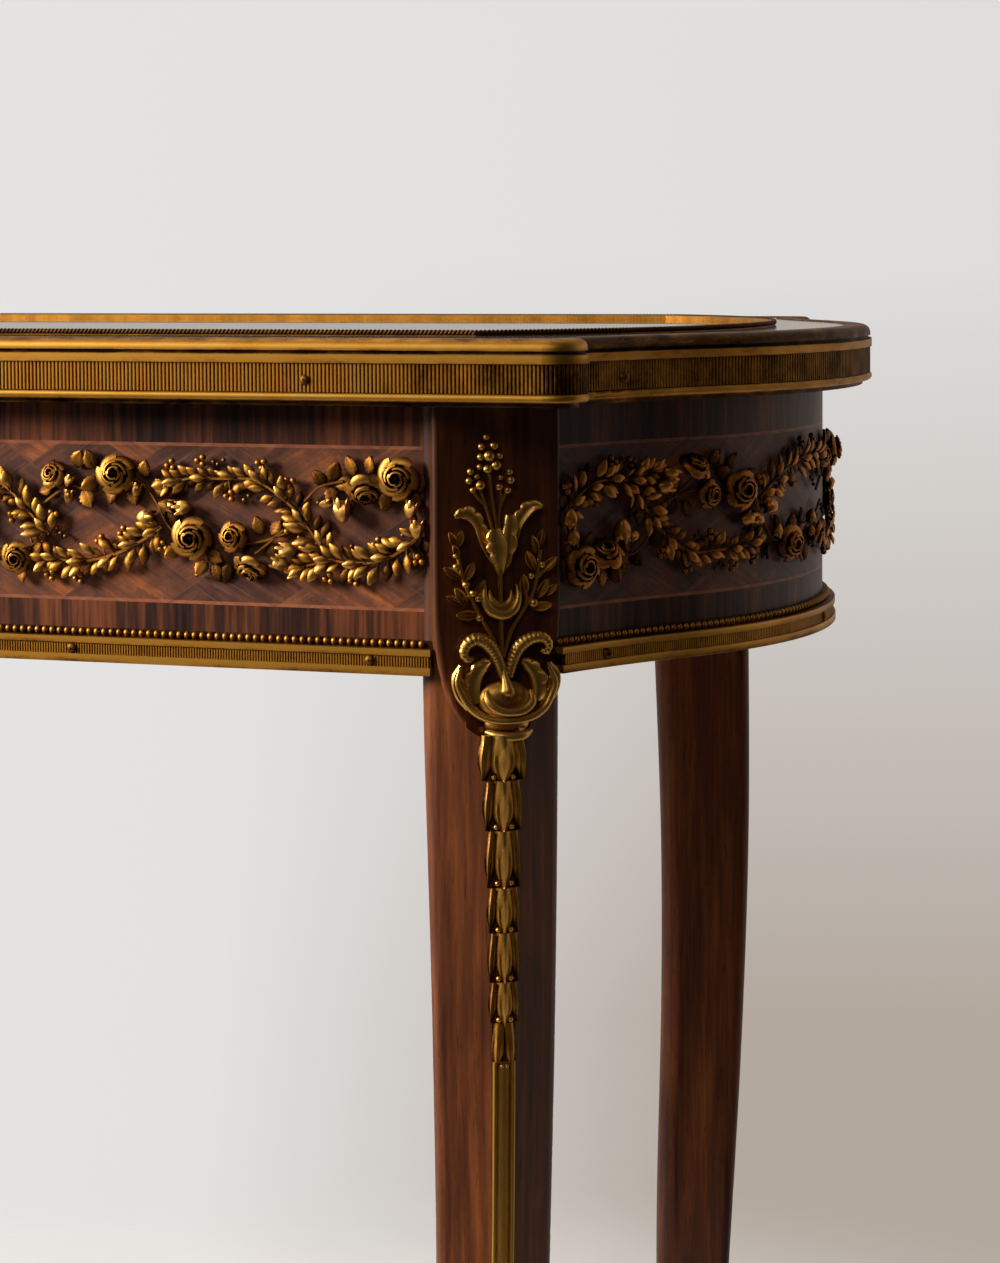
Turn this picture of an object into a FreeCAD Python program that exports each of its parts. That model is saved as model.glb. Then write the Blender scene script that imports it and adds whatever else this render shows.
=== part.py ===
import FreeCAD, Part
import math
import os

V = FreeCAD.Vector
os.makedirs("parts", exist_ok=True)

# Vitrine table in millimetres: X along the width, front at -Y, floor at Z = 0.

# Overall heights
height = 775.0
lid_thickness = 31.5
lid_gap = 0.2
frieze_height = 127.3
field_drop = 0.4

# Plan of the straight front and of the bowed ends
front_plane = 221.0
rail_thickness = 22.0
bow_apex = 372.7
bow_radius = 216.8
bow_swing = 35.0
bow_end = 24.0
bow_end_y = 199.4
bow_low = 16.0

# Leg: place and turn of the tablet face, section and sweep
leg_in = 102.7
leg_y = 214.0
leg_turn = 33.0
leg_slope = 31.0
arris_half = 5.75
corner_share = 0.24
inner_slope = 36.0
inner_share = 0.36
leg_foot = 5.0
post_arris = 6.0
post_half = 33.0
sweep_length = 616.0
leg_sweep = [
    (640.0, post_arris, post_half),
    (622.0, post_arris, post_half),
    (600.0, post_arris, 32.9),
    (558.0, 6.5, 32.3),
    (510.0, 7.0, 31.4),
    (464.0, 6.8, 30.5),
    (414.0, 5.4, 29.6),
    (351.0, 2.4, 28.5),
    (289.0, -1.6, 27.6),
    (227.0, -6.2, 26.2),
    (180.0, -9.4, 24.6),
    (140.0, -11.2, 22.8),
    (100.0, -11.0, 20.6),
    (66.0, -7.6, 19.0),
    (40.0, -2.6, 18.4),
    (20.0, 2.4, 18.8),
]
foot_section = (6.0, 19.6)
tablet_half = 31.0
tablet_depth = 24.0
shoulder_up = 40.0
tablet_length = 71.0
tablet_power = 2.4
tablet_round = 2.4

# Tenons
tenon_thickness = 9.0
tenon_height = 70.0
tenon_length = 20.0
tenon_up = 36.0
tenon_fit = 0.1

# Floor of the case
board_up = 6.0
board_thickness = 10.0
board_groove = 5.0
lining_thickness = 3.0
pad_thickness = 14.0
soft_gap = 0.3

# Lower moulding, bands from the bottom up: height and projection
lower_bands = [(3.9, 7.2), (5.2, 5.8), (3.4, 6.8), (3.8, 2.4)]
lower_screw_front = [53.0, 210.0]
lower_screw_side = [0.0, 172.0]

# Lid
lid_over = 26.4
edge_width = 14.0
ear_in = 69.7
ear_radius = 17.0
core_round = 3.0
edge_bands = [
    (2.3, 21.5, 0.0, 0.0),
    (4.1, 26.4, 1.9, 1.9),
    (13.8, 25.0, 0.0, 0.0),
    (4.1, 26.4, 0.0, 0.0),
    (1.8, 24.4, 0.0, 0.0),
    (5.5, 25.6, 0.0, 4.4),
]
notch_y = 216.6
edge_screw_front = 186.0
edge_screw_side = 188.0
open_y = 181.0
open_radius = 216.0
open_rim = 26.7
bezel_width = 10.0
bezel_height = 2.2
glass_thickness = 4.5
glass_lap = 6.7
tongue_thickness = 8.0
tongue_width = 26.0
tongue_length = 18.0

# Screws
screw_head = 1.5
screw_proud = 0.4
screw_head_depth = 1.4
screw_shank = 0.9
screw_length = 13.0

# Hinges
hinge_x = 160.0
hinge_y = 239.4
hinge_drop = 3.2
hinge_half = 28.0
knuckle_half = 13.0
knuckle_gap = 0.4
knuckle_radius = 3.0
pin_radius = 1.25
pin_fit = 0.05
leaf_thickness = 2.0
leaf_inner = 205.0

# Lock
key_up = 70.0
lock_half = 20.0
lock_up = 52.0
lock_height = 72.0
lock_depth = 12.0
lock_wall = 2.2
bolt_half = 7.0
bolt_thickness = 5.0
bolt_up = 77.4
bolt_reach = 7.0
bolt_fit = 0.3
strike_thickness = 1.5
strike_half = 16.0
key_radius = 2.0
key_fit = 0.4
key_bit = 6.0
key_bow = 9.0
key_wire = 1.9
key_out = 4.6
escutcheon_x = 9.0
escutcheon_z = 14.0
escutcheon_thickness = 1.6

# Garlands: crossings along the frieze measured from its middle
garland_up = 70.0
garland_rise = 24.0
garland_band = 5.0
garland_depth = 6.0
rose_radius = 9.0
rose_depth = 9.0
front_crossings = [37.0, 102.0, 180.0, 232.0]
side_crossings = [0.0, 77.0, 158.0, 208.0]

# Leg mounts
chute_depth = 4.0
cup_depth = 9.0
husk_drops = [28.5, 49.6, 73.5, 100.0, 120.3, 143.6, 163.3, 183.4]
husk_widths = [21.0, 16.4, 14.5, 13.6, 13.1, 12.6, 9.8]
strip_half = 5.4
strip_proud = 2.2
strip_sunk = 2.5
strip_drop = 184.0
strip_low = 50.0
sabot_stations = [(0.0, 9.5, 22.6), (5.0, 10.0, 22.8), (14.0, 6.4, 21.4), (26.0, 3.0, 20.4),
                  (40.0, -0.6, 20.2), (50.0, -2.6, 20.6)]


def sin(angle):
    return math.sin(math.radians(angle))


def cos(angle):
    return math.cos(math.radians(angle))


lid_low = height - lid_thickness
carcass_top = lid_low - lid_gap
lid_field = height - field_drop
frieze_bottom = carcass_top - frieze_height
leg_stretch = frieze_bottom / sweep_length
leg_stations = [(z * leg_stretch, arris, half) for z, arris, half in leg_sweep]
leg_stations.append((leg_foot,) + foot_section)
post_bottom = leg_stations[0][0]
tablet_shoulder = frieze_bottom + shoulder_up
tablet_tip = tablet_shoulder - tablet_length
tenon_low = frieze_bottom + tenon_up
board_low = frieze_bottom + board_up
key_z = frieze_bottom + key_up
lock_low = frieze_bottom + lock_up
lock_top = lock_low + lock_height
bolt_bottom = frieze_bottom + bolt_up
garland_z = frieze_bottom + garland_up
husk_levels = [frieze_bottom - drop for drop in husk_drops]
strip_top = frieze_bottom - strip_drop
leg_x = bow_apex - leg_in
ear_x = bow_apex - ear_in
open_centre = bow_apex - open_rim - open_radius
bow_centre = bow_apex - bow_radius
hollow_radius = (bow_end_y - bow_radius * sin(bow_swing)) / (sin(bow_swing) - sin(bow_end))
hollow_x = bow_centre + (bow_radius + hollow_radius) * cos(bow_swing)
hollow_y = (bow_radius + hollow_radius) * sin(bow_swing)
normal = V(sin(leg_turn), -cos(leg_turn), 0)
along = V(cos(leg_turn), sin(leg_turn), 0)
up = V(0, 0, 1)


def box(x0, x1, y0, y1, z0, z1):
    return Part.makeBox(x1 - x0, y1 - y0, z1 - z0, V(x0, y0, z0))


def flip_x(shape):
    return shape.mirror(V(0, 0, 0), V(1, 0, 0))


def flip_y(shape):
    return shape.mirror(V(0, 0, 0), V(0, 1, 0))


def join(shapes):
    result = shapes[0]
    if len(shapes) > 1:
        result = result.fuse(shapes[1:])
    return result.removeSplitter()


def largest(shape):
    return max(shape.Solids, key=lambda solid: solid.Volume)


def polygon(points):
    return Part.Face(Part.makePolygon(points + [points[0]]))


# Plan outlines

def hollow_point(offset, angle, end):
    radius = hollow_radius - offset
    return V(hollow_x - radius * cos(angle), end * (hollow_y - radius * sin(angle)), 0)


def bow_face(offset, inner_x):
    arcs = []
    middle = (bow_low + bow_swing) / 2
    first = [hollow_point(offset, angle, -1) for angle in (bow_low, middle, bow_swing)]
    last = [hollow_point(offset, angle, 1) for angle in (bow_swing, middle, bow_low)]
    arcs.append(Part.Arc(*first).toShape())
    arcs.append(Part.Arc(first[2], V(bow_apex + offset, 0, 0), last[0]).toShape())
    arcs.append(Part.Arc(*last).toShape())
    corners = [last[2], V(inner_x, last[2].y, 0), V(inner_x, first[0].y, 0), first[0]]
    lines = [Part.makeLine(corners[i], corners[i + 1]) for i in range(3)]
    return Part.Face(Part.Wire(arcs + lines))


def bow_solid(offset, z0, z1, inner_x):
    face = bow_face(offset, inner_x)
    face.translate(V(0, 0, z0))
    return face.extrude(V(0, 0, z1 - z0))


def body_solid(offset, half_y, z0, z1):
    right = bow_solid(offset, z0, z1, 0).common(box(0, 600, -half_y, half_y, z0, z1))
    return join([right, flip_x(right)])


def ear_bar(offset, z0, z1):
    radius = ear_radius - lid_over + offset
    ear_y = front_plane + lid_over - ear_radius
    ends = [Part.makeCylinder(radius, z1 - z0, V(side * ear_x, -ear_y, z0)) for side in (-1, 1)]
    return join([box(-ear_x, ear_x, -ear_y - radius, -ear_y + radius, z0, z1)] + ends)


def bow_end_plate(offset, z0, z1):
    return bow_solid(offset, z0, z1, ear_x - 60)


def core_solid(z0, z1):
    offset = lid_over - edge_width
    reach = front_plane + offset
    side = ear_x + core_round
    bar = box(-side, side, -reach, reach, z0, z1)
    uprights = [edge for edge in bar.Edges if abs(edge.tangentAt(edge.FirstParameter).z) > 0.9]
    bar = bar.makeFillet(core_round, uprights)
    right = bow_solid(offset, z0, z1, 0).common(box(0, 600, -reach, reach, z0, z1))
    return join([bar, right, flip_x(right)])


def open_solid(offset, z0, z1):
    reach = open_y + offset
    disc = Part.makeCylinder(open_radius + offset, z1 - z0, V(open_centre, 0, z0))
    right = disc.common(box(open_centre, 600, -reach, reach, z0, z1))
    return join([box(-open_centre, open_centre, -reach, reach, z0, z1), right, flip_x(right)])


# Legs

def leg_point(u, w, z):
    return V(leg_x, -leg_y, z) + along * u + normal * w


def leg_section(z, arris, half):
    rounding = corner_share * half
    turn = (90 - leg_slope) / 2
    back = arris - (half - arris_half) * math.tan(math.radians(leg_slope))
    reach = rounding * math.tan(math.radians(turn))
    deep = back - reach
    start = (half - reach * cos(leg_slope), back + reach * sin(leg_slope))
    centre = half - rounding
    swing = (90 - leg_slope - inner_slope) / 2
    middle = (centre + rounding * cos(swing), deep + rounding * sin(swing))
    flank = (centre + rounding * cos(inner_slope), deep - rounding * sin(inner_slope))
    fall = math.tan(math.radians(90 - inner_slope))
    inner = inner_share * half
    tip = flank[1] - flank[0] * fall
    end = (inner * cos(inner_slope), tip + inner * cos(inner_slope) * fall)
    nose = (0, tip + inner / sin(inner_slope) - inner)
    right = [(arris_half, arris), start, middle, flank, end, nose]
    p = [leg_point(u, w, z) for u, w in right]
    q = [leg_point(-u, w, z) for u, w in right]
    edges = [
        Part.makeLine(q[0], p[0]),
        Part.makeLine(p[0], p[1]),
        Part.Arc(p[1], p[2], p[3]).toShape(),
        Part.makeLine(p[3], p[4]),
        Part.Arc(p[4], p[5], q[4]).toShape(),
        Part.makeLine(q[4], q[3]),
        Part.Arc(q[3], q[2], q[1]).toShape(),
        Part.makeLine(q[1], q[0]),
    ]
    return Part.Wire(edges)


def arris_at(z):
    for upper, lower in zip(leg_stations, leg_stations[1:]):
        if upper[0] >= z >= lower[0]:
            share = (upper[0] - z) / (upper[0] - lower[0])
            return upper[1] + share * (lower[1] - upper[1])
    return post_arris


def tablet_outline(w):
    points = []
    steps = 16
    for i in range(steps + 1):
        angle = 180.0 * i / steps
        u = -tablet_half * math.copysign(abs(cos(angle)) ** (2 / tablet_power), cos(angle))
        drop = (tablet_shoulder - tablet_tip) * abs(sin(angle)) ** (2 / tablet_power)
        points.append(leg_point(u, w, tablet_shoulder - drop))
    curve = Part.BSplineCurve()
    curve.interpolate(points)
    left = leg_point(-tablet_half, w, carcass_top)
    right = leg_point(tablet_half, w, carcass_top)
    edges = [Part.makeLine(left, points[0]), curve.toShape(), Part.makeLine(points[-1], right),
             Part.makeLine(right, left)]
    return Part.Face(Part.Wire(edges))


def tablet_block():
    block = tablet_outline(-tablet_depth).extrude(normal * tablet_depth)
    face_level = leg_point(0, 0, 0).dot(normal)
    rims = []
    for edge in block.Edges:
        level = [vertex.Point.dot(normal) for vertex in edge.Vertexes]
        at_top = all(abs(vertex.Z - carcass_top) < 0.01 for vertex in edge.Vertexes)
        if max(abs(value - face_level) for value in level) < 0.01 and not at_top:
            rims.append(edge)
    return block.makeFillet(tablet_round, rims)


def leg_solid():
    shaft = Part.makeLoft([leg_section(*station) for station in leg_stations], True, False)
    post = Part.Face(leg_section(*leg_stations[0])).extrude(up * (carcass_top - post_bottom))
    shaft = shaft.fuse(post)
    shaft = shaft.cut(tablet_outline(0).extrude(normal * 30))
    return largest(join([shaft, tablet_block()]))


def front_tenon(grow):
    half = tenon_thickness / 2 + grow
    middle = -front_plane + rail_thickness / 2
    reach = leg_x - post_half + tenon_length + grow
    return box(leg_x - 80, reach, middle - half, middle + half, tenon_low - grow,
               tenon_low + tenon_height + grow)


def side_tenon(grow):
    half = tenon_thickness / 2 + grow
    middle = rail_thickness / 2
    outer = bow_solid(half - middle, tenon_low - grow, tenon_low + tenon_height + grow, leg_x - 60)
    inner = bow_solid(-half - middle, tenon_low - 5, tenon_low + tenon_height + 5, leg_x - 61)
    window = box(0, 600, -bow_end_y - grow + 9, -120, 0, height)
    return largest(outer.cut(inner).common(window))


def tablet_front():
    corners = [leg_point(u, -tablet_round, 0) for u in (-60, 60)]
    face = polygon(corners + [point + normal * 60 for point in corners[::-1]])
    return face.extrude(up * height)


leg_full = leg_solid()
leg_front_right = leg_full.cut([front_tenon(tenon_fit), side_tenon(tenon_fit)])
legs_full = [leg_full, flip_x(leg_full), flip_y(leg_full), flip_x(flip_y(leg_full))]
ahead = tablet_front()
tablet_fronts = [ahead, flip_x(ahead), flip_y(ahead), flip_x(flip_y(ahead))]
legs = {"front_right": leg_front_right}
legs["front_left"] = flip_x(leg_front_right)
legs["back_right"] = flip_y(leg_front_right)
legs["back_left"] = flip_x(flip_y(leg_front_right))

# Floor of the case and rails
inner_y = front_plane - rail_thickness
board = body_solid(board_groove - rail_thickness, inner_y + board_groove, board_low,
                   board_low + board_thickness)
board = largest(board.cut(legs_full))
front_rail = box(-leg_x, leg_x, -front_plane, -inner_y, frieze_bottom, carcass_top)
front_rail = largest(front_rail.cut(legs_full + [board]))
tenon = front_tenon(0)
front_rail = join([front_rail, tenon.cut(box(0, leg_x - 60, -300, 0, 0, height)),
                   flip_x(tenon.cut(box(0, leg_x - 60, -300, 0, 0, height)))])
back_rail = flip_y(front_rail)
right_rail = bow_solid(0, frieze_bottom, carcass_top, leg_x - 60)
right_rail = right_rail.cut(bow_solid(-rail_thickness, 0, height, leg_x - 61))
right_rail = right_rail.common(box(0, 600, -bow_end_y + 2.4, bow_end_y - 2.4, 0, height))
right_rail = largest(right_rail.cut(legs_full + [board]))
tenon = side_tenon(0)
right_rail = join([right_rail, tenon, flip_y(tenon)])
left_rail = flip_x(right_rail)

# Velvet: pad on the floor and linings on the four walls
board_top = board_low + board_thickness
pad_top = board_top + pad_thickness
lining_in = rail_thickness + lining_thickness
pad = body_solid(-lining_in - soft_gap, front_plane - lining_in - soft_gap, board_top, pad_top)
pad = largest(pad.cut(legs_full))
lining_top = carcass_top - 3
wall = body_solid(-rail_thickness, inner_y, board_top, lining_top)
wall = wall.cut(body_solid(-lining_in, front_plane - lining_in, 0, height))
wall = wall.cut(legs_full + [box(-lock_half - 1, lock_half + 1, -300, 0, lock_low - 1, height)])
lining = Part.makeCompound([solid for solid in wall.Solids if solid.Volume > 500])


# Lower mouldings

def front_strip(depth, z0, z1):
    return box(-leg_x, leg_x, -front_plane - depth, -front_plane, z0, z1)


def side_strip(depth, z0, z1):
    strip = bow_solid(depth, z0, z1, leg_x - 40).cut(bow_solid(0, 0, height, leg_x - 41))
    return strip.common(box(0, 600, -bow_end_y + 2.4, bow_end_y - 2.4, 0, height))


def lower_moulding(strip):
    layers = []
    level = frieze_bottom - 0.6
    for tall, depth in lower_bands:
        layers.append(strip(depth, level, level + tall))
        level += tall
    return largest(join(layers).cut(legs_full + tablet_fronts))


lower_front = lower_moulding(front_strip)
lower_right = lower_moulding(side_strip)


def bow_place(y, offset):
    radius = bow_radius + offset
    limit = radius * sin(bow_swing)
    if abs(y) <= limit:
        outward = V(math.sqrt(radius ** 2 - y ** 2), y, 0) * (1 / radius)
        return V(bow_centre, 0, 0) + outward * radius, outward
    side = math.copysign(1, y)
    radius = hollow_radius - offset
    rise = (hollow_y - abs(y)) / radius
    outward = V(math.sqrt(1 - rise ** 2), side * rise, 0)
    return V(hollow_x, side * hollow_y, 0) - outward * radius, outward


def screw(point, outward):
    head = Part.makeCylinder(screw_head, screw_head_depth + screw_proud,
                             point - outward * screw_head_depth, outward)
    shank = Part.makeCylinder(screw_shank, screw_length, point - outward * screw_length, outward)
    return join([head, shank])


def moulding_screws(front_list, side_list, offset, z):
    shapes = []
    for x in front_list:
        shapes.append(screw(V(x, -front_plane - offset, z), V(0, -1, 0)))
    for y in side_list:
        point, outward = bow_place(-y, offset)
        shapes.append(screw(V(point.x, point.y, z), outward))
    shapes += [flip_x(shape) for shape in shapes]
    return shapes + [flip_y(shape) for shape in shapes if abs(shape.BoundBox.Center.y) > 1]


lower_screw_z = frieze_bottom - 0.6 + lower_bands[0][0] + lower_bands[1][0] / 2
lower_screws = moulding_screws(lower_screw_front, lower_screw_side, lower_bands[1][1],
                               lower_screw_z)
lower_front = lower_front.cut(lower_screws)
lower_right = lower_right.cut(lower_screws)
lower = {"front": lower_front, "back": flip_y(lower_front), "right": lower_right,
         "left": flip_x(lower_right)}

# Lid frame
core = core_solid(lid_low, lid_field)
core = core.cut(open_solid(-bezel_width, 0, 900))
glass_low = lid_field - glass_thickness
seat = glass_lap - bezel_width
core = core.cut(open_solid(seat, glass_low, 900))
open_corner = open_centre + math.sqrt(open_radius ** 2 - open_y ** 2) - bezel_width
mitre_x = ear_x + core_round
mitre_y = notch_y - 8
sight_y = open_y - bezel_width
right_zone = polygon([V(open_corner - 14, -sight_y + 8, lid_low), V(mitre_x, -mitre_y, lid_low),
                      V(600, -mitre_y, lid_low), V(600, mitre_y, lid_low),
                      V(mitre_x, mitre_y, lid_low), V(open_corner - 14, sight_y - 8, lid_low)])
right_zone = right_zone.extrude(up * lid_thickness)
lid_right = core.common(right_zone)
rest = core.cut([right_zone, flip_x(right_zone)])
lid_front = largest(rest.common(box(-600, 600, -600, 0, 0, 900)))
lid_right = largest(lid_right)

mitre_from = V(open_corner - 14, -sight_y + 8, 0)
mitre_to = V(mitre_x, -mitre_y, 0)
mitre_run = (mitre_to - mitre_from).normalize()
mitre_across = V(-mitre_run.y, mitre_run.x, 0)


def tongue(grow):
    half = tongue_width / 2 + grow
    reach = tongue_length + grow
    middle = mitre_from + (mitre_to - mitre_from) * 0.58
    low = lid_low + 9 - grow
    corners = [middle + mitre_run * a + mitre_across * b
               for a, b in ((-half, 4), (half, 4), (half, -reach), (-half, -reach))]
    face = polygon([V(p.x, p.y, low) for p in corners])
    return face.extrude(up * (tongue_thickness + 2 * grow))


lid_front = lid_front.cut([tongue(tenon_fit), flip_x(tongue(tenon_fit))])
lid_right = join([lid_right, tongue(0), flip_y(tongue(0))])
glass = open_solid(seat - soft_gap, glass_low, lid_field)
bezel = open_solid(0, lid_field, lid_field + bezel_height)
bezel = bezel.cut(open_solid(-bezel_width, 0, 900))


# Brass lid edge

def edge_piece(plate, window):
    layers = []
    level = lid_low
    for tall, offset, low_round, top_round in edge_bands:
        layer = plate(offset, level, level + tall)
        for rim_z, rounding in ((level, low_round), (level + tall, top_round)):
            if rounding > 0:
                rims = [edge for edge in layer.Edges
                        if all(abs(vertex.Z - rim_z) < 0.01 for vertex in edge.Vertexes)
                        and (plate is ear_bar or isinstance(edge.Curve, Part.Circle))]
                layer = layer.makeFillet(rounding, rims)
        layers.append(layer.common(window).cut(core_solid(0, 900)))
        level += tall
    return largest(join(layers))


edge_front = edge_piece(ear_bar, box(-600, 600, -600, -notch_y, 0, 900))
edge_right = edge_piece(bow_end_plate, box(0, 600, -notch_y, notch_y, 0, 900))
edge_screw_z = lid_low + edge_bands[0][0] + edge_bands[1][0] + edge_bands[2][0] * 0.42
edge_screws = moulding_screws([edge_screw_front], [edge_screw_side], edge_bands[2][1],
                              edge_screw_z)
edge_front = edge_front.cut(edge_screws)
edge_right = edge_right.cut(edge_screws)

# Hinges
axis_z = lid_low - hinge_drop
leaf_z = carcass_top - leaf_thickness


def carcass_leaf(x):
    plate = box(x - hinge_half, x + hinge_half, leaf_inner, hinge_y - knuckle_radius - 0.7, leaf_z,
                carcass_top)
    shapes = [plate]
    inner = knuckle_half + knuckle_gap
    for low in (x - hinge_half, x + inner):
        span = hinge_half - inner
        shapes.append(box(low, low + span, leaf_inner, hinge_y, leaf_z, carcass_top))
        shapes.append(Part.makeCylinder(knuckle_radius, span, V(low, hinge_y, axis_z), V(1, 0, 0)))
    bore = Part.makeCylinder(pin_radius, 200, V(x - 100, hinge_y, axis_z), V(1, 0, 0))
    return join(shapes).cut(bore)


def lid_leaf(x):
    plate = box(x - hinge_half, x + hinge_half, leaf_inner, hinge_y - 8, lid_low,
                lid_low + leaf_thickness)
    tab = box(x - knuckle_half, x + knuckle_half, hinge_y - 9, hinge_y + knuckle_radius - 0.2,
              lid_low, lid_low + leaf_thickness)
    web = box(x - knuckle_half, x + knuckle_half, hinge_y - knuckle_radius + 0.2,
              hinge_y + knuckle_radius - 0.2, axis_z, lid_low)
    barrel = Part.makeCylinder(knuckle_radius, 2 * knuckle_half,
                               V(x - knuckle_half, hinge_y, axis_z), V(1, 0, 0))
    bore = Part.makeCylinder(pin_radius + pin_fit, 200, V(x - 100, hinge_y, axis_z), V(1, 0, 0))
    return join([plate, tab, web, barrel]).cut(bore)


def pin(x):
    return Part.makeCylinder(pin_radius, 2 * hinge_half, V(x - hinge_half, hinge_y, axis_z),
                             V(1, 0, 0))


leaves_carcass = [carcass_leaf(-hinge_x), carcass_leaf(hinge_x)]
leaves_lid = [lid_leaf(-hinge_x), lid_leaf(hinge_x)]
pins = [pin(-hinge_x), pin(hinge_x)]
back_rail = back_rail.cut(leaves_carcass)
lid_back = flip_y(lid_front).cut(leaves_lid)
edge_back = flip_y(edge_front).cut(leaves_lid)

# Lock in the front rail
lock_y = -inner_y - lock_depth
bolt_y = -inner_y - lock_depth / 2
bolt_top = carcass_top - 0.4


def bolt_space(grow, low, top):
    half = bolt_thickness / 2 + grow
    return box(-bolt_half - grow, bolt_half + grow, bolt_y - half, bolt_y + half, low, top)


def key_space(grow, bit, y0, y1):
    shaft = Part.makeCylinder(key_radius + grow, y1 - y0, V(0, y0, key_z), V(0, 1, 0))
    slot = box(-1.2 - grow, 1.2 + grow, y0, y1, key_z - bit - grow, key_z)
    return join([shaft, slot])


lock_case = box(-lock_half, lock_half, lock_y, -inner_y, lock_low, lock_top)
lock_room = box(-lock_half + lock_wall, lock_half - lock_wall, lock_y + lock_wall,
                -inner_y - lock_wall, lock_low + lock_wall, lock_top - lock_wall)
lock_case = lock_case.cut([lock_room, bolt_space(bolt_fit, lock_low + 20, 900),
                           key_space(key_fit, key_bit, lock_y - 1, lock_y + 6)])
lock_bolt = bolt_space(0, bolt_bottom, bolt_top)
front_rail = front_rail.cut([
    box(-lock_half, lock_half, lock_y, -inner_y + 1, lock_low, lock_top),
    bolt_space(bolt_fit, lock_top, 900),
    key_space(key_fit, key_bit, -300, lock_y + 1),
])
strike = box(-strike_half, strike_half, bolt_y - 7, bolt_y + 7, lid_low, lid_low + strike_thickness)
strike_slot = bolt_space(1.0, 0, lid_low + 9)
strike = strike.cut(strike_slot)
lid_front = lid_front.cut([box(-strike_half, strike_half, bolt_y - 7, bolt_y + 7, 0,
                               lid_low + strike_thickness), strike_slot])

ellipse = Part.Ellipse(V(0, 0, 0), escutcheon_z, escutcheon_x).toShape()
escutcheon = Part.Face(Part.Wire(ellipse)).extrude(V(0, 0, escutcheon_thickness))
escutcheon.rotate(V(0, 0, 0), V(0, 0, 1), 90)
escutcheon.rotate(V(0, 0, 0), V(1, 0, 0), 90)
escutcheon.translate(V(0, -front_plane, key_z))
escutcheon = escutcheon.cut(key_space(key_fit, key_bit, -300, 0))

key_end = -front_plane - key_out
key_shaft = Part.makeCylinder(key_radius, bolt_y + 2.4 - key_end, V(0, key_end, key_z), V(0, 1, 0))
key_tooth = box(-1.2, 1.2, bolt_y - 2.2, bolt_y + 2.2, key_z - key_bit, key_z)
key_ring = Part.makeTorus(key_bow, key_wire, V(0, key_end - key_bow, key_z), V(1, 0, 0))
key_collar = Part.makeCylinder(key_radius + 1.0, 1.6, V(0, key_end, key_z), V(0, 1, 0))
key = join([key_shaft, key_tooth, key_ring, key_collar])


# Garlands: two crossing strands of laurel and rose

def mirrored(crossings):
    return sorted({-value for value in crossings} | set(crossings))


def strand_points(crossings, phase, edge):
    places = mirrored(crossings)
    points = []
    for index in range(len(places) - 1):
        low = places[index]
        span = places[index + 1] - low
        sign = phase * (1 if index % 2 else -1)
        for step in range(8):
            share = step / 8.0
            rise = sign * garland_rise * math.sin(math.pi * share)
            points.append((low + share * span, rise + edge))
    points.append((places[-1], edge))
    return points


def strand_face(crossings, phase, place):
    lower_side = strand_points(crossings, phase, -garland_band)
    upper_side = strand_points(crossings, phase, garland_band)
    points = [place(s, garland_z + z) for s, z in lower_side + upper_side[::-1]]
    return polygon(points)


def rose_places(crossings):
    places = mirrored(crossings)
    spots = []
    for index in range(len(places) - 1):
        sign = 1 if index % 2 else -1
        for share in (0.3, 0.62):
            spots.append((places[index] + share * (places[index + 1] - places[index]),
                          -sign * garland_rise * 0.9))
    return spots


def front_place(s, z):
    return V(s, -front_plane, z)


def side_place(s, z):
    reach = bow_radius * math.radians(bow_swing)
    if abs(s) <= reach:
        y = bow_radius * math.sin(s / bow_radius)
    else:
        angle = math.radians(bow_swing) - (abs(s) - reach) / hollow_radius
        y = math.copysign(hollow_y - hollow_radius * math.sin(angle), s)
    return V(0, y, z)


def front_garland():
    shapes = [strand_face(front_crossings, phase, front_place).extrude(V(0, -garland_depth, 0))
              for phase in (1, -1)]
    for s, z in rose_places(front_crossings):
        shapes.append(Part.makeCylinder(rose_radius, rose_depth, front_place(s, garland_z + z),
                                        V(0, -1, 0)))
    bare = Part.makeCylinder(escutcheon_z + 2, 40, V(0, -front_plane - 20, key_z), V(0, 1, 0))
    return join(shapes).cut(bare)


def side_garland():
    shell = bow_solid(garland_depth, frieze_bottom, carcass_top, leg_x - 40)
    shell = shell.cut(bow_solid(0, 0, height, leg_x - 41))
    strands = [strand_face(side_crossings, phase, side_place).extrude(V(600, 0, 0))
               for phase in (1, -1)]
    shapes = [join(strands).common(shell)]
    for s, z in rose_places(side_crossings):
        flat = side_place(s, garland_z - z)
        point, outward = bow_place(flat.y, 0)
        boss = Part.makeCylinder(rose_radius, rose_depth + 6, V(point.x, point.y, flat.z) - outward * 6,
                                 outward)
        shapes.append(boss.cut(bow_solid(0, 0, height, leg_x - 41)))
    return join(shapes)


garland_front = front_garland().cut(legs_full)
garland_right = side_garland().cut(legs_full)


# Chute on the tablet, husk chain and strip on the arris, sabot on the foot

def tablet_shape(points, depth):
    return polygon([leg_point(u, 0, frieze_bottom + z) for u, z in points]).extrude(normal * depth)


def mirrored(points):
    return [(-u, z) for u, z in points]


def tablet_ring(u, z, outer, inner, depth):
    centre = leg_point(u, 0, frieze_bottom + z)
    ring = Part.makeCylinder(outer, depth, centre, normal)
    return ring.cut(Part.makeCylinder(inner, depth + 2, centre - normal, normal))


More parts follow.
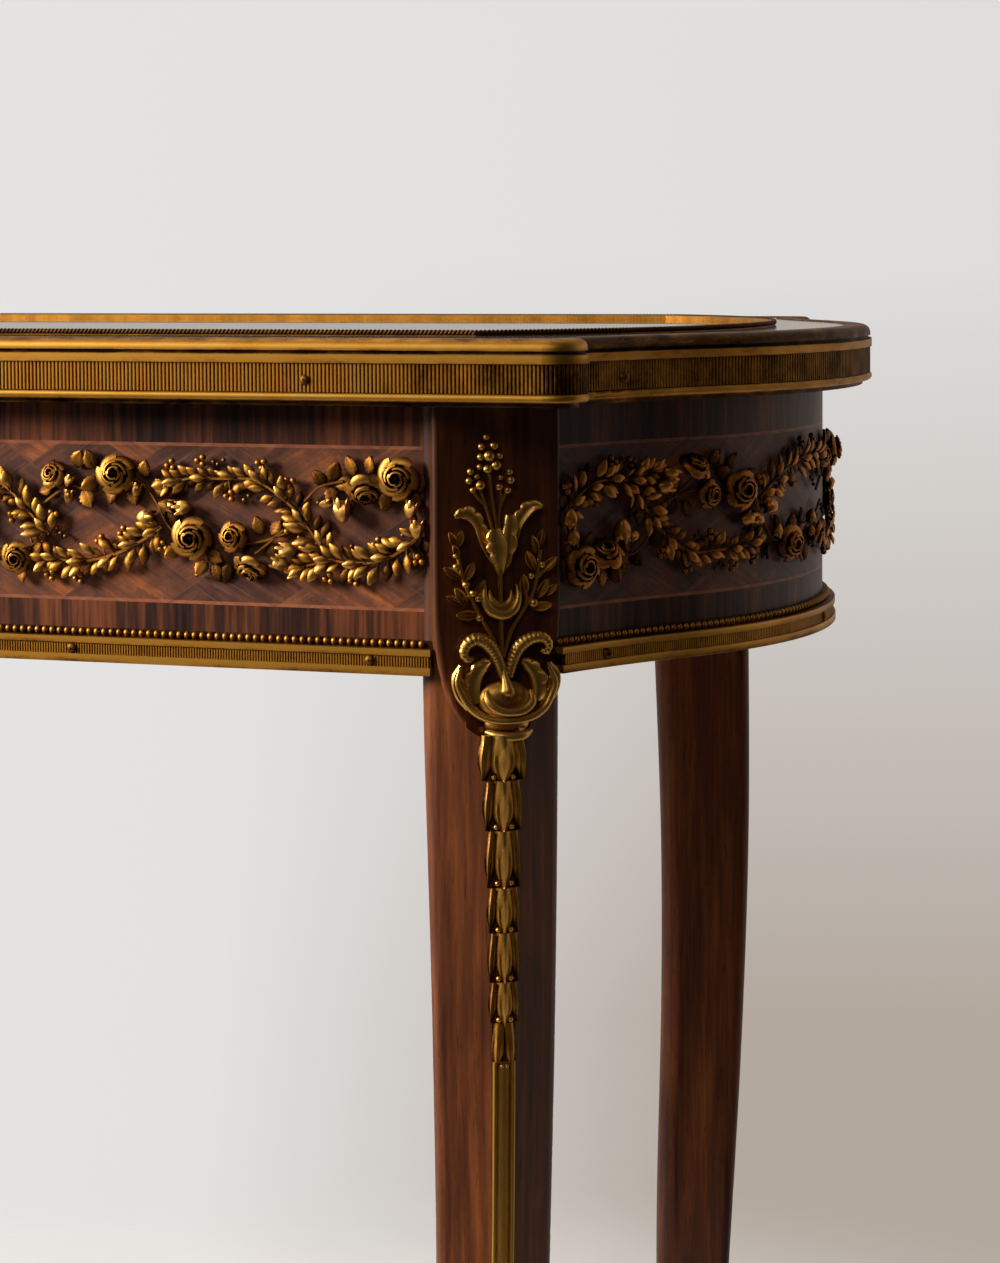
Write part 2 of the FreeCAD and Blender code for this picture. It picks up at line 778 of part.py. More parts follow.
def chute_solid():
    berries = [(0, 114), (5, 105), (11, 87), (4, 84), (-4, 84), (-11, 87), (-5, 105)]
    stem = [(-1.6, -20), (1.6, -20), (1.6, 87), (-1.6, 87)]
    leaf = [(-1, 52), (-5, 68), (-20, 78), (-9, 63), (-4, 48)]
    branch = [(0, 8), (-12, 24), (-22, 52), (-19, 66), (-15, 52), (-9, 34), (0, 18)]
    cup = [(-24, 2), (-17, -16), (-10, -30), (10, -30), (17, -16), (24, 2), (14, -9), (0, -14),
           (-14, -9)]
    shapes = [tablet_shape(berries, chute_depth), tablet_shape(stem, chute_depth)]
    for points in (leaf, branch):
        shapes.append(tablet_shape(points, chute_depth))
        shapes.append(tablet_shape(mirrored(points)[::-1], chute_depth))
    shapes.append(tablet_ring(1, 37, 9, 5, chute_depth))
    shapes.append(tablet_ring(-10, 5, 9.5, 5, chute_depth))
    shapes.append(tablet_ring(10, 5, 9.5, 5, chute_depth))
    shapes.append(tablet_shape(cup, cup_depth + post_arris))
    return join(shapes)


def husk_chain():
    shapes = []
    for index, width in enumerate(husk_widths):
        top = husk_levels[index] - 0.4
        low = husk_levels[index + 1]
        w = arris_at((top + low) / 2)
        shapes.append(Part.makeCone(width * 0.44, width * 0.22, top - low + 0.4,
                                    leg_point(0, w, low), up))
    return join(shapes)


def strip_section(z):
    inner = arris_at(z) - strip_sunk
    outer = arris_at(z) + strip_proud
    corners = [(-strip_half, inner), (strip_half, inner), (strip_half, outer), (-strip_half, outer)]
    points = [leg_point(u, w, z) for u, w in corners]
    return Part.makePolygon(points + [points[0]])


def leg_strip():
    levels = [strip_top] + [z for z, a, b in leg_stations if strip_low < z < strip_top] + [strip_low]
    return Part.makeLoft([strip_section(z) for z in levels], True, False)


sabot = Part.makeLoft([leg_section(*station) for station in sabot_stations], True, False)
sabot = largest(sabot.cut(leg_full))
chute = largest(chute_solid().cut(leg_full))
chain = husk_chain().cut([leg_full, chute])
strip = largest(leg_strip().cut([leg_full, sabot, chain]))

# Screw holes in the wood behind the mouldings
lower_wood = [shape for shape in lower_screws]
front_rail = largest(front_rail.cut(lower_wood))
back_rail = largest(back_rail.cut(lower_wood))
right_rail = largest(right_rail.cut(lower_wood))
left_rail = largest(left_rail.cut(lower_wood))
lid_front = largest(lid_front.cut(edge_screws))
lid_back = largest(lid_back.cut(edge_screws))
lid_right = largest(lid_right.cut(edge_screws))

nodes = {
    "front_rail": front_rail,
    "back_rail": back_rail,
    "left_rail": left_rail,
    "right_rail": right_rail,
    "bottom_board": board,
    "velvet_pad": pad,
    "velvet_lining": lining,
    "lower_moulding_screws": Part.makeCompound(lower_screws),
    "hinge_leaves_carcass": Part.makeCompound(leaves_carcass),
    "hinge_pins": Part.makeCompound(pins),
    "lock_case": lock_case,
    "lock_bolt": lock_bolt,
    "key": key,
    "escutcheon": escutcheon,
    "lid_front": lid_front,
    "lid_back": lid_back,
    "lid_left": flip_x(lid_right),
    "lid_right": lid_right,
    "lid_edge_front": edge_front,
    "lid_edge_back": edge_back,
    "lid_edge_left": flip_x(edge_right),
    "lid_edge_right": edge_right,
    "lid_edge_screws": Part.makeCompound(edge_screws),
    "glass": glass,
    "glass_bezel": bezel,
    "hinge_leaves_lid": Part.makeCompound(leaves_lid),
    "lock_strike": strike,
    "garland_front": garland_front,
    "garland_back": flip_y(garland_front),
    "garland_right": garland_right,
    "garland_left": flip_x(garland_right),
}
for side, shape in lower.items():
    nodes["lower_moulding_" + side] = shape
for corner, shape in legs.items():
    nodes["leg_" + corner] = shape
mounts = {"chute": chute, "husks": chain, "strip": strip, "sabot": sabot}
for name, shape in mounts.items():
    nodes[name + "_front_right"] = shape
    nodes[name + "_front_left"] = flip_x(shape)
    nodes[name + "_back_right"] = flip_y(shape)
    nodes[name + "_back_left"] = flip_x(flip_y(shape))

for name, shape in nodes.items():
    shape.exportStep("parts/" + name + ".step")
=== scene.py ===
import bpy
import bmesh
import math
import random
from mathutils import Matrix, Quaternion, Vector


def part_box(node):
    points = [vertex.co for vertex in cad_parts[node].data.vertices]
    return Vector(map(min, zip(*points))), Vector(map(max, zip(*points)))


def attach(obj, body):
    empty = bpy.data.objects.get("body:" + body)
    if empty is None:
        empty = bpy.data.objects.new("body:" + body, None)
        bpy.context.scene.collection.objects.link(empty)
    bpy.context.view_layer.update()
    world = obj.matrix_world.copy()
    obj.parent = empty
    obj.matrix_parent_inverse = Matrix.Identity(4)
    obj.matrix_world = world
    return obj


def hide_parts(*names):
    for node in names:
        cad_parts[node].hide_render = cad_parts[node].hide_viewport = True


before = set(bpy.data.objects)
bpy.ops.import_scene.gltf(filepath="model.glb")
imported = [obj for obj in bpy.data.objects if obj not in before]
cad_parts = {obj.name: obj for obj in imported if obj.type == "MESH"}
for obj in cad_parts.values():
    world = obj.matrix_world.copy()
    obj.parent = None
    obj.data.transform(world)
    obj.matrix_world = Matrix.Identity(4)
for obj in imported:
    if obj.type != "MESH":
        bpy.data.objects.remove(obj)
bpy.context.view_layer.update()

# Table, in millimetres: the same sizes as the frame
MM = 0.001
FRONT = 221.0
FRIEZE_BOTTOM = 616.0
BOW_CENTRE, BOW_RADIUS = 155.9, 216.8
BOW_SWING, BOW_END, BOW_END_Y = math.radians(35), math.radians(24), 199.4
HOLLOW_RADIUS = (BOW_END_Y - BOW_RADIUS * math.sin(BOW_SWING)) / (math.sin(BOW_SWING) - math.sin(BOW_END))
HOLLOW_X = BOW_CENTRE + (BOW_RADIUS + HOLLOW_RADIUS) * math.cos(BOW_SWING)
HOLLOW_Y = (BOW_RADIUS + HOLLOW_RADIUS) * math.sin(BOW_SWING)
EAR_X, EAR_Y, EAR_RADIUS, EAR_SWEEP = 303.0, 230.4, 17.0, math.radians(150)
LID_OVER = 26.4
OPEN_Y, OPEN_RADIUS, OPEN_CENTRE = 181.0, 216.0, 130.0
LEG_X, LEG_Y, LEG_TURN = 270.0, 214.0, math.radians(33)
CORNERS = {"front_right": (1, 1), "front_left": (-1, 1), "back_right": (1, -1), "back_left": (-1, -1)}
# Front line of the leg: height and how far it stands out
ARRIS = [(640, 6), (600, 6), (558, 6.5), (510, 7), (464, 6.8), (414, 5.4), (351, 2.4), (289, -1.6),
         (227, -6.2), (180, -9.4), (140, -11.2), (100, -11), (66, -7.6), (40, -2.6), (20, 2.4), (5, 6)]

# Cast ornament, in millimetres: levels, and the relief at which a mount is brightest; lower relief is darker,
# partly patina and partly painted shade
GARLAND_Z = 686.6
GARLAND_DEPTH, CHUTE_DEPTH, HUSK_DEPTH, STRIP_DEPTH, SABOT_DEPTH = 6.5, 4.2, 3.6, 2.4, 7.0
SPRIG_STEP, SPRIG_LEAF, SPRIG_STEM = 4.9, 12.2, 3.2
HUSK_LEVELS = [587.5, 565.7, 541.8, 514.6, 493.1, 469.5, 450.1, 428.7]
HUSK_WIDTHS = [21.0, 16.6, 14.6, 13.6, 13.0, 12.6, 9.8]
STRIP_TOP, STRIP_LOW, STRIP_STEPS = 432.0, 50.0, 40

# Mouldings, in millimetres: out is measured from the face of the frieze
REED_PITCH = EAR_X / 155
LID_REED_WIDE, LID_REED_TALL, LID_REED_OUT, LID_REED_Z = 1.55, 13.6, 24.9, 756.8
LID_REED_FRONT, LID_REED_END = EAR_X + 0.1, 226.0
LOW_PITCH = REED_PITCH * 0.72
LOW_REED_WIDE, LOW_REED_TALL, LOW_REED_OUT, LOW_REED_Z = 1.16, 5.1, 5.6, 621.9
LOW_SHORT, LOW_LONG = 5.6, 2.0
LOW_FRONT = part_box("lower_moulding_front")[1][0] / MM - LOW_SHORT
LOW_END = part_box("lower_moulding_right")[1][1] / MM
BAR_PAST_FRONT, BAR_PAST_END, BAR_STEPS = 0.6, 1.9, 72
BEAD_PITCH, BEAD_OUT, BEAD_Z, BEAD_SIZE = 4.05, 2.2, 629.9, (3.2, 3.2, 3.9, 1)
BEAD_SHORT = 1.4
# Bands of the lower moulding, from its foot up: height and how far each stands out
LOWER_BANDS = [(3.9, 7.2), (5.2, 5.8), (3.4, 6.8), (3.8, 2.4)]
LOWER_FOOT, LOWER_BACK, LOWER_ROUND = FRIEZE_BOTTOM - 0.6, -1.0, 0.3
LOWER_TALL = sum(tall for tall, out in LOWER_BANDS)
EDGE_FOOT, EDGE_TALL = 743.5, 31.6
ROPE_OUT, ROPE_PITCH, ROPE_Z, ROPE_LEAN = 0.2, 2.1, 776.3, math.radians(-40)
ROPE_SIZE = (3.7, 1.9, 1.9, 1)
SCREW_SIZE = (2.6, 2.6, 1.5, 1)

# Veneer of the frieze, in metres
LOZENGE_WIDE, LOZENGE_TALL, LOZENGE_JOINT = 0.058, 0.0385, 0.011
BAND_LOW, BAND_HIGH, STRING_HALF = 0.6458, 0.7227, 0.0008
GRAIN_SLANT = 2.1

IDENTITY = Matrix.Identity(4)
HALF_TURN = Matrix.Rotation(math.pi, 4, "Z")
# A sphere or cone that stands on Z, laid along Y
ALONG_Y = Matrix.Rotation(math.radians(-90), 4, "X")


# Places on the table

def bow_place(s, out):
    """Plan point on the right bowed end: s along the frieze from its middle, out from its face."""
    reach = BOW_RADIUS * BOW_SWING
    if abs(s) <= reach:
        angle, radius = s / BOW_RADIUS, BOW_RADIUS + out
        return Vector((BOW_CENTRE + radius * math.cos(angle), radius * math.sin(angle)))
    angle = BOW_SWING - (abs(s) - reach) / HOLLOW_RADIUS
    radius = HOLLOW_RADIUS - out
    return Vector((HOLLOW_X - radius * math.cos(angle),
                   math.copysign(HOLLOW_Y - radius * math.sin(angle), s)))


def bow_length(y, out):
    """Length along the bowed end at which it reaches a given Y in its hollow part."""
    angle = math.asin((HOLLOW_Y - y) / (HOLLOW_RADIUS - out))
    return BOW_RADIUS * BOW_SWING + (BOW_SWING - angle) * HOLLOW_RADIUS


def front_place(s, out):
    return Vector((s, -FRONT - out))


def garland_on_front(p):
    return front_place(p.x, p.z).to_3d() + Vector((0, 0, GARLAND_Z + p.y))


def garland_on_right(p):
    return bow_place(p.x, p.z).to_3d() + Vector((0, 0, GARLAND_Z + p.y))


def arris_at(z):
    for (z1, w1), (z0, w0) in zip(ARRIS, ARRIS[1:]):
        if z1 >= z >= z0:
            return w0 + (w1 - w0) * (z - z0) / (z1 - z0)
    return ARRIS[0][1]


def on_tablet(p):
    """Right front leg: x across the tablet, y up from the frieze's lower edge, z out from its face."""
    return Vector((LEG_X + math.cos(LEG_TURN) * p.x + math.sin(LEG_TURN) * p.z,
                   -LEG_Y + math.sin(LEG_TURN) * p.x - math.cos(LEG_TURN) * p.z, FRIEZE_BOTTOM + p.y))


def on_arris(p):
    return on_tablet(Vector((p.x, p.y, p.z + arris_at(FRIEZE_BOTTOM + p.y))))


# Casting: a small shape is made once and set many times

def pattern(shape, *sizes):
    bm = bmesh.new()
    # Painted shade: each vertex's darkening of the gilding in hollows, undersides and stalks
    bm.verts.layers.float.new("shade")
    shape(bm, *sizes)
    bmesh.ops.recalc_face_normals(bm, faces=bm.faces)
    mesh = bpy.data.meshes.new(shape.__name__)
    bm.to_mesh(mesh)
    bm.free()
    return mesh


def cast(bm, mesh, matrix):
    first_vert, first_face = len(bm.verts), len(bm.faces)
    bm.from_mesh(mesh)
    bm.verts.ensure_lookup_table()
    bm.faces.ensure_lookup_table()
    bmesh.ops.transform(bm, matrix=matrix, verts=bm.verts[first_vert:])
    if matrix.determinant() < 0:
        bmesh.ops.reverse_faces(bm, faces=bm.faces[first_face:])


def laid(x, y, out, angle=0.0, lift=0.0, roll=0.0, size=1.0, wide=1.0, deep=1.0):
    """Set a shape that grows along Y: angle in the panel's plane, lift of its tip, roll about its length."""
    return (Matrix.Translation((x, y, out)) @ Matrix.Rotation(math.radians(angle - 90), 4, "Z")
            @ Matrix.Rotation(math.radians(lift), 4, "X") @ Matrix.Rotation(math.radians(roll), 4, "Y")
            @ Matrix.Diagonal((size * wide, size, size * deep, 1)))


def wrapped(source, place, depth):
    """Flat ornament bent onto its face; crest is 0 on the ground or in a hollow, and 1 on the relief, dimmed
    by the shape's painted shade.
    """
    bm = bmesh.new()
    bm.from_mesh(source)
    crest = bm.verts.layers.float.new("crest")
    shade = bm.verts.layers.float["shade"]
    for vert in bm.verts:
        vert[crest] = max(0.0, min(1.0, vert.co.z / depth)) * (1 - vert[shade])
        vert.co = place(vert.co)
    return bm


def turned(bm, matrix):
    bmesh.ops.transform(bm, matrix=matrix, verts=bm.verts)
    if matrix.determinant() < 0:
        bmesh.ops.reverse_faces(bm, faces=bm.faces)
    return bm


def piece(name, bm, body, slot, finish, replaces=(), sharp=38):
    """Finished piece, its mesh brought from millimetres to metres."""
    bmesh.ops.scale(bm, vec=(MM, MM, MM), verts=bm.verts)
    mesh = bpy.data.meshes.new(name)
    bm.to_mesh(mesh)
    bm.free()
    mesh.shade_smooth()
    mesh.set_sharp_from_angle(angle=math.radians(sharp))
    mesh.materials.append(finish)
    obj = bpy.data.objects.new(name, mesh)
    bpy.context.scene.collection.objects.link(obj)
    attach(obj, body)
    if replaces:
        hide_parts(*replaces)
    return obj


# Small shapes, one unit long

def laurel_leaf(bm):
    """Teardrop leaf on its stalk, full above and flat below."""
    shade = bm.verts.layers.float["shade"]
    bmesh.ops.create_uvsphere(bm, u_segments=8, v_segments=9, radius=0.5, matrix=ALONG_Y)
    for vert in bm.verts:
        t, around = vert.co.y + 0.5, math.atan2(vert.co.z, vert.co.x)
        share = max(0.0, (t - 0.24) / 0.76)
        width = 0.035 + 0.185 * max(0.0, math.sin(math.pi * share ** 0.95)) ** 1.1
        if math.hypot(vert.co.x, vert.co.z) < 0.01:
            width = 0.0
        full = 0.44 if around > 0 else 0.30
        # Painted shade on the stalk, on the underside and at the rim
        vert[shade] = min(0.9, max(0.0, 0.60 - 1.3 * t) + 0.5 * max(0.0, 0.8 - math.sin(around)))
        rise = width * full * math.sin(around) + 0.16 * t * (1 - t)
        vert.co = Vector((width * math.cos(around), t, rise))


def bay_leaf(bm):
    """Hollow leaf, pointed at both ends, its rim raised, with painted shade in the hollow on each side of its
    rib.
    """
    shade = bm.verts.layers.float["shade"]
    bmesh.ops.create_grid(bm, x_segments=6, y_segments=9, size=0.5)
    for vert in bm.verts:
        side, t = vert.co.x * 2, vert.co.y + 0.5
        vert[shade] = 0.62 * math.sin(math.pi * abs(side)) ** 0.7 if 0.1 < abs(side) < 0.9 else 0.0
        width = 0.225 * math.sin(math.pi * (0.04 + 0.92 * t)) ** 0.75
        rim = 0.14 * abs(side) ** 1.7 * math.sin(math.pi * (0.1 + 0.8 * t))
        vert.co = Vector((side * width, t, rim + 0.16 * (t - 0.4) ** 2))
    bmesh.ops.solidify(bm, geom=bm.faces[:], thickness=0.06)


def husk_leaf(bm):
    """Hanging leaf: full, straight sided and pointed, a groove on each side of its low rib, with painted
    shade in the grooves and at the edges.
    """
    shade = bm.verts.layers.float["shade"]
    bmesh.ops.create_grid(bm, x_segments=8, y_segments=11, size=0.5)
    for vert in bm.verts:
        side, t = vert.co.x * 2, vert.co.y + 0.5
        width = 0.5 * min(1.0, (1.02 - t) / 0.42) ** 0.62 * (0.82 + 0.18 * math.sin(math.pi * t))
        groove = math.exp(-((abs(side) - 0.42) / 0.17) ** 2) * min(1.0, 2.4 * t)
        full = 0.17 * (1 - side * side) + 0.09 * math.sin(math.pi * t) ** 2
        vert[shade] = min(0.9, 0.62 * groove + 0.4 * abs(side) ** 4)
        vert.co = Vector((side * width, t, full - 0.07 * groove))
    bmesh.ops.solidify(bm, geom=bm.faces[:], thickness=0.07)


def rose_leaf(bm):
    """Broad leaf with a toothed edge and a sunk mid rib."""
    bmesh.ops.create_grid(bm, x_segments=6, y_segments=9, size=0.5)
    for vert in bm.verts:
        side, t = vert.co.x * 2, vert.co.y + 0.5
        notch = 1.0 + 0.08 * math.cos(9 * math.pi * t)
        width = 0.37 * math.sin(math.pi * min(1.0, 0.06 + 0.94 * t) ** 0.85) ** 0.75 * notch + 0.015
        vein = 0.12 * abs(side) + 0.02 * math.cos(9 * math.pi * (t - 0.22 * abs(side)))
        vert.co = Vector((side * width, t, vein - 0.16 * side * side - 0.26 * (t - 0.45) ** 2))
    bmesh.ops.solidify(bm, geom=bm.faces[:], thickness=0.09)


def rose_bud(bm):
    """Closed bud, its petals wound round it, in five sepals."""
    bmesh.ops.create_uvsphere(bm, u_segments=12, v_segments=9, radius=0.5, matrix=ALONG_Y)
    for vert in bm.verts:
        t, angle = vert.co.y + 0.5, math.atan2(vert.co.z, vert.co.x)
        girth = 0.82 * (1.15 - 0.5 * t) * (1 + 0.16 * math.cos(3 * angle + 2.4 * t))
        vert.co = Vector((vert.co.x * girth, t, vert.co.z * girth))
    for turn in range(5):
        sepal = (Matrix.Rotation(turn * math.tau / 5, 4, "Y") @ Matrix.Translation((0, 0.22, 0.33))
                 @ Matrix.Rotation(math.radians(-14), 4, "X") @ Matrix.Diagonal((0.26, 0.62, 0.14, 1)))
        bmesh.ops.create_uvsphere(bm, u_segments=6, v_segments=5, radius=0.5, matrix=sepal @ ALONG_Y)


def rose_petal(bm, radius, height, spread, flare):
    """One petal of a cup: it stands up, then its broad rim rolls out and down."""
    bmesh.ops.create_grid(bm, x_segments=7, y_segments=6, size=0.5)
    for vert in bm.verts:
        a, t = vert.co.x * 2, vert.co.y + 0.5
        rise = min(1.0, t / 0.5)
        roll = max(0.0, (t - 0.5) / 0.5) * (1 - 0.35 * a * a)
        drop = flare * (0.15 * roll + 0.60 * roll ** 3)
        r = (radius * (0.65 + 0.35 * rise) + flare * roll) * (1 + 0.15 * a)
        angle = a * spread / 2
        vert.co = Vector((r * math.sin(angle), r * math.cos(angle), height * rise - 0.02 * a - drop))
    bmesh.ops.solidify(bm, geom=bm.faces[:], thickness=0.05)


def rose(bm):
    """Three rows of petals round a heart; painted shade below the rims of the petals."""
    rows = [(5, 0.36, 0.27, 1.55, 0.19), (4, 0.27, 0.42, 1.85, 0.07), (3, 0.15, 0.45, 2.40, 0.05)]
    for row, (count, radius, height, spread, flare) in enumerate(rows):
        petal = pattern(rose_petal, radius, height, spread, flare)
        for turn in range(count):
            cast(bm, petal, Matrix.Rotation(turn * math.tau / count + row * 0.7, 4, "Z"))
    for size, squash, rise in ((0.30, 0.45, 0.0), (0.06, 1.0, 0.30)):
        heart = Matrix.Translation((0, 0, rise)) @ Matrix.Diagonal((1, 1, squash, 1))
        bmesh.ops.create_uvsphere(bm, u_segments=12, v_segments=6, radius=size, matrix=heart)
    shade = bm.verts.layers.float["shade"]
    for vert in bm.verts:
        out = math.hypot(vert.co.x, vert.co.y)
        rim = 0.43 if out < 0.36 else 0.26 - 0.75 * (out - 0.36)
        vert[shade] = max(0.16, min(0.88, (rim - vert.co.z) / 0.13))


def berry(bm):
    bmesh.ops.create_icosphere(bm, subdivisions=2, radius=0.5)


def reed(bm, width, height):
    bmesh.ops.create_cone(bm, cap_ends=True, segments=6, radius1=width / 2, radius2=width / 2, depth=height)


LEAF, BAY, HUSK_LEAF, BROAD, BUD, ROSE, BERRY = (
    pattern(shape) for shape in (laurel_leaf, bay_leaf, husk_leaf, rose_leaf, rose_bud, rose, berry))


# Members along a line

def smooth_line(points, count):
    """Run of points on a curve that passes through the points given."""
    knots = [Vector(point) for point in points]
    knots = [2 * knots[0] - knots[1]] + knots + [2 * knots[-1] - knots[-2]]
    line = []
    for i in range(count + 1):
        place = i / count * (len(points) - 1)
        k = min(int(place), len(points) - 2)
        t = place - k
        a, b, c, d = knots[k:k + 4]
        bend, twist = 2 * a - 5 * b + 4 * c - d, 3 * b - a - 3 * c + d
        line.append(0.5 * (2 * b + (c - a) * t + bend * t ** 2 + twist * t ** 3))
    return line


def swept(points, sizes, count):
    """Places, headings, directions to the left and sizes at even steps on a smooth line."""
    if not hasattr(sizes, "__len__"):
        sizes = [sizes] * len(points)
    line = smooth_line([(*point, size) for point, size in zip(points, sizes)], count)
    steps = []
    for i, knot in enumerate(line):
        ahead = (line[min(i + 1, count)] - line[max(i - 1, 0)]).to_3d().normalized()
        steps.append((knot.to_3d(), ahead, Vector((-ahead.y, ahead.x, 0)).normalized(), knot.w))
    return steps


def round_member(bm, points, radii, rings, around, rib, pitch):
    """Sheet rolled up along a line, its seam welded and its ends closed."""
    steps = swept(points, radii, rings)
    runs = [0.0]
    for (start, *_), (end, *_) in zip(steps, steps[1:]):
        runs.append(runs[-1] + (end - start).length)
    bmesh.ops.create_grid(bm, x_segments=around, y_segments=rings, size=0.5)
    for vert in bm.verts:
        angle, ring = math.tau * (vert.co.x + 0.5), round((vert.co.y + 0.5) * rings)
        here, ahead, left, radius = steps[ring]
        swell = radius * (1 + rib * math.cos(math.tau * runs[ring] / pitch + angle))
        vert.co = here + (left * math.cos(angle) + ahead.cross(left) * math.sin(angle)) * swell
    bmesh.ops.remove_doubles(bm, verts=bm.verts, dist=0.0005)
    bmesh.ops.holes_fill(bm, edges=[edge for edge in bm.edges if edge.is_boundary])


def tube(bm, points, radii, rings=10, around=6, rib=0.0, pitch=2.2):
    """Round member as thick as its radii say; rib winds a rope of ridges round it."""
    cast(bm, pattern(round_member, points, radii, rings, around, rib, pitch), IDENTITY)


def blade(bm, points, widths, teeth, toothed, hollow=0.22, thick=0.9, steps=66):
    """Acanthus blade: one edge toothed (1 left of its run, -1 right), the other plain, the middle sunk."""
    line = swept(points, widths, steps)
    sheet = bmesh.ops.create_grid(bm, x_segments=6, y_segments=steps, size=0.5)["verts"]
    for vert in sheet:
        a, row = vert.co.x * 2, round((vert.co.y + 0.5) * steps)
        here, ahead, left, width = line[row]
        tooth = 0.50 + 0.68 * abs(math.sin(teeth * math.pi * row / steps)) ** 0.7
        reach = width / 2 * (tooth if a * toothed > 0.4 else 1.0)
        vert.co = here + left * a * reach + Vector((0, 0, hollow * width * (a * a - 0.4)))
    faces = list(dict.fromkeys(face for vert in sheet for face in vert.link_faces))
    bmesh.ops.recalc_face_normals(bm, faces=faces)
    bm.normal_update()
    if sum(face.normal.z for face in faces) < 0:
        bmesh.ops.reverse_faces(bm, faces=faces)
    bmesh.ops.solidify(bm, geom=faces, thickness=thick)


def drawn(bm, outline, step, count):
    """Bar with a closed outline, drawn out in even steps, its ends closed."""
    row = [bm.verts.new(point) for point in outline]
    edges = first = [bm.edges.new(pair) for pair in zip(row, row[1:] + row[:1])]
    for i in range(count):
        grown = bmesh.ops.extrude_edge_only(bm, edges=edges)["geom"]
        edges = [item for item in grown if isinstance(item, bmesh.types.BMEdge)]
        verts = [item for item in grown if isinstance(item, bmesh.types.BMVert)]
        bmesh.ops.translate(bm, vec=step, verts=verts)
    for ring in (first, edges):
        bmesh.ops.contextual_create(bm, geom=ring)


def stations(path, step):
    """Points and headings at an even step along a smooth path."""
    fine = smooth_line(path, 12 * len(path))
    total = sum((b - a).length for a, b in zip(fine, fine[1:]))
    count = max(2, round(total / step))
    found, walked, wanted = [], 0.0, 0.0
    for a, b in zip(fine, fine[1:]):
        length = (b - a).length
        heading = math.degrees(math.atan2(b.y - a.y, b.x - a.x))
        while len(found) <= count and wanted <= walked + length + 1e-6:
            found.append((a.lerp(b, (wanted - walked) / length), heading))
            wanted += total / count
        walked += length
    return found


# Garland: sprigs of laurel, roses with their leaves and buds, on one half of the frieze.
# Places are along the frieze from its middle and up from the garland's own middle line.

SPRIGS = [
    [(186, -13), (179, -4), (171, 6), (161, 14), (149, 20), (132, 20), (118, 20), (108, 18)],
    [(233, -7), (223, -14), (213, -18), (199, -19), (189, -18), (177, -21)],
    [(101, -4), (89, -12), (76, -18), (58, -22), (41, -21)],
    [(40, -9), (35, -4), (27, 4), (18, 13), (7, 19)],
]
# Place, size, tilt up and tilt aside in degrees
ROSES = [
    (43, 20, 13, 20, -10), (77, 21, 18, 8, 8), (117, -9, 19, 0, 8), (139, -8, 14, 6, -6),
    (148, -21, 16, -48, -8), (207, 18, 18, -46, 12), (224, 22, 19, 0, 6), (22, -21, 15, -6, 6),
]
# Place, size and heading in degrees
BROAD_LEAVES = [
    (54, 24, 9, 62), (65, 24, 9, 115), (67, 18, 9, 205), (74, 16, 9, 262), (84, 14, 8, 290),
    (59, 13, 9, 300), (91, 20, 8, 75), (95, 16, 10, -14), (41, 14, 7, 200), (124, -16, 9, -25),
    (124, -20, 8, 238), (128, -22, 8, 285), (108, -4, 9, 130), (110, -14, 8, 215), (136, -22, 8, 255),
    (139, -15, 8, 50), (153, -6, 8, 108), (158, -6, 8, 52), (157, -11, 8, 285), (186, 18, 8, 128),
    (190, 20, 9, 68), (188, 17, 8, -62), (201, 23, 9, 112), (208, 24, 8, 75), (200, 20, 9, 192),
    (220, 15, 9, 248), (229, 14, 8, 320), (233, 16, 8, 70), (235, -6, 8, 285), (231, -13, 8, 272),
    (15, -21, 8, 160), (29, -19, 8, 40), (24, -26, 7, 275),
]
BUDS = [
    (52, 13, 7, 262), (53, 20, 6, 245), (89, 17, 7, 258), (97, 1, 9, 185), (108, 6, 8.5, 172),
    (109, 5, 9, 8), (163, -14, 9.5, 2), (160, -19, 9, -18), (190, 10, 6, 195), (196, 11, 11, -86),
    (232, 11, 8.5, 255), (234, 2, 9, 268), (33, -12, 7, 120),
]
TWIGS = [
    [(33, 3), (44, 11), (52, 15), (60, 13)], [(84, 20), (91, 17), (98, 8), (104, -3), (112, -10)],
    [(142, -12), (153, -10), (160, -8), (172, -3)], [(176, 10), (184, 17), (196, 20)],
    [(226, 16), (231, 8), (234, -3), (233, -8)], [(165, -4), (158, -10), (150, -16)],
    [(12, -20), (24, -18), (38, -10)],
]
BERRIES = [
    (226, -5), (228, -3.4), (200, -11), (202, -13.4), (175, -9), (177.5, -11), (173, -7.4), (100, -10),
    (102, -12), (46, -8.5), (44, -6), (48.5, -10), (68, -10), (70.5, -12), (183, 9.5), (131, 27), (134, 29),
    (128.6, 28), (119, -27), (147, 12), (144.5, 10), (164, 9), (166.4, 11),
]
# Where the strands cross on the front, and on the bowed end
FRONT_CROSSINGS = [0.0, 37.0, 102.0, 180.0, 232.0, 242.0]
SIDE_CROSSINGS = [-44.0, 0.0, 77.0, 158.0, 208.0, 218.0]


def along_front(x):
    return x


def along_side(x):
    """Where a spot of the front's garland lies on the shorter bowed end, lobe by lobe."""
    crossings = list(zip(FRONT_CROSSINGS, SIDE_CROSSINGS))
    for (a, c), (b, d) in zip(crossings, crossings[1:]):
        if a <= x <= b:
            return c + (d - c) * (x - a) / (b - a)
    return x


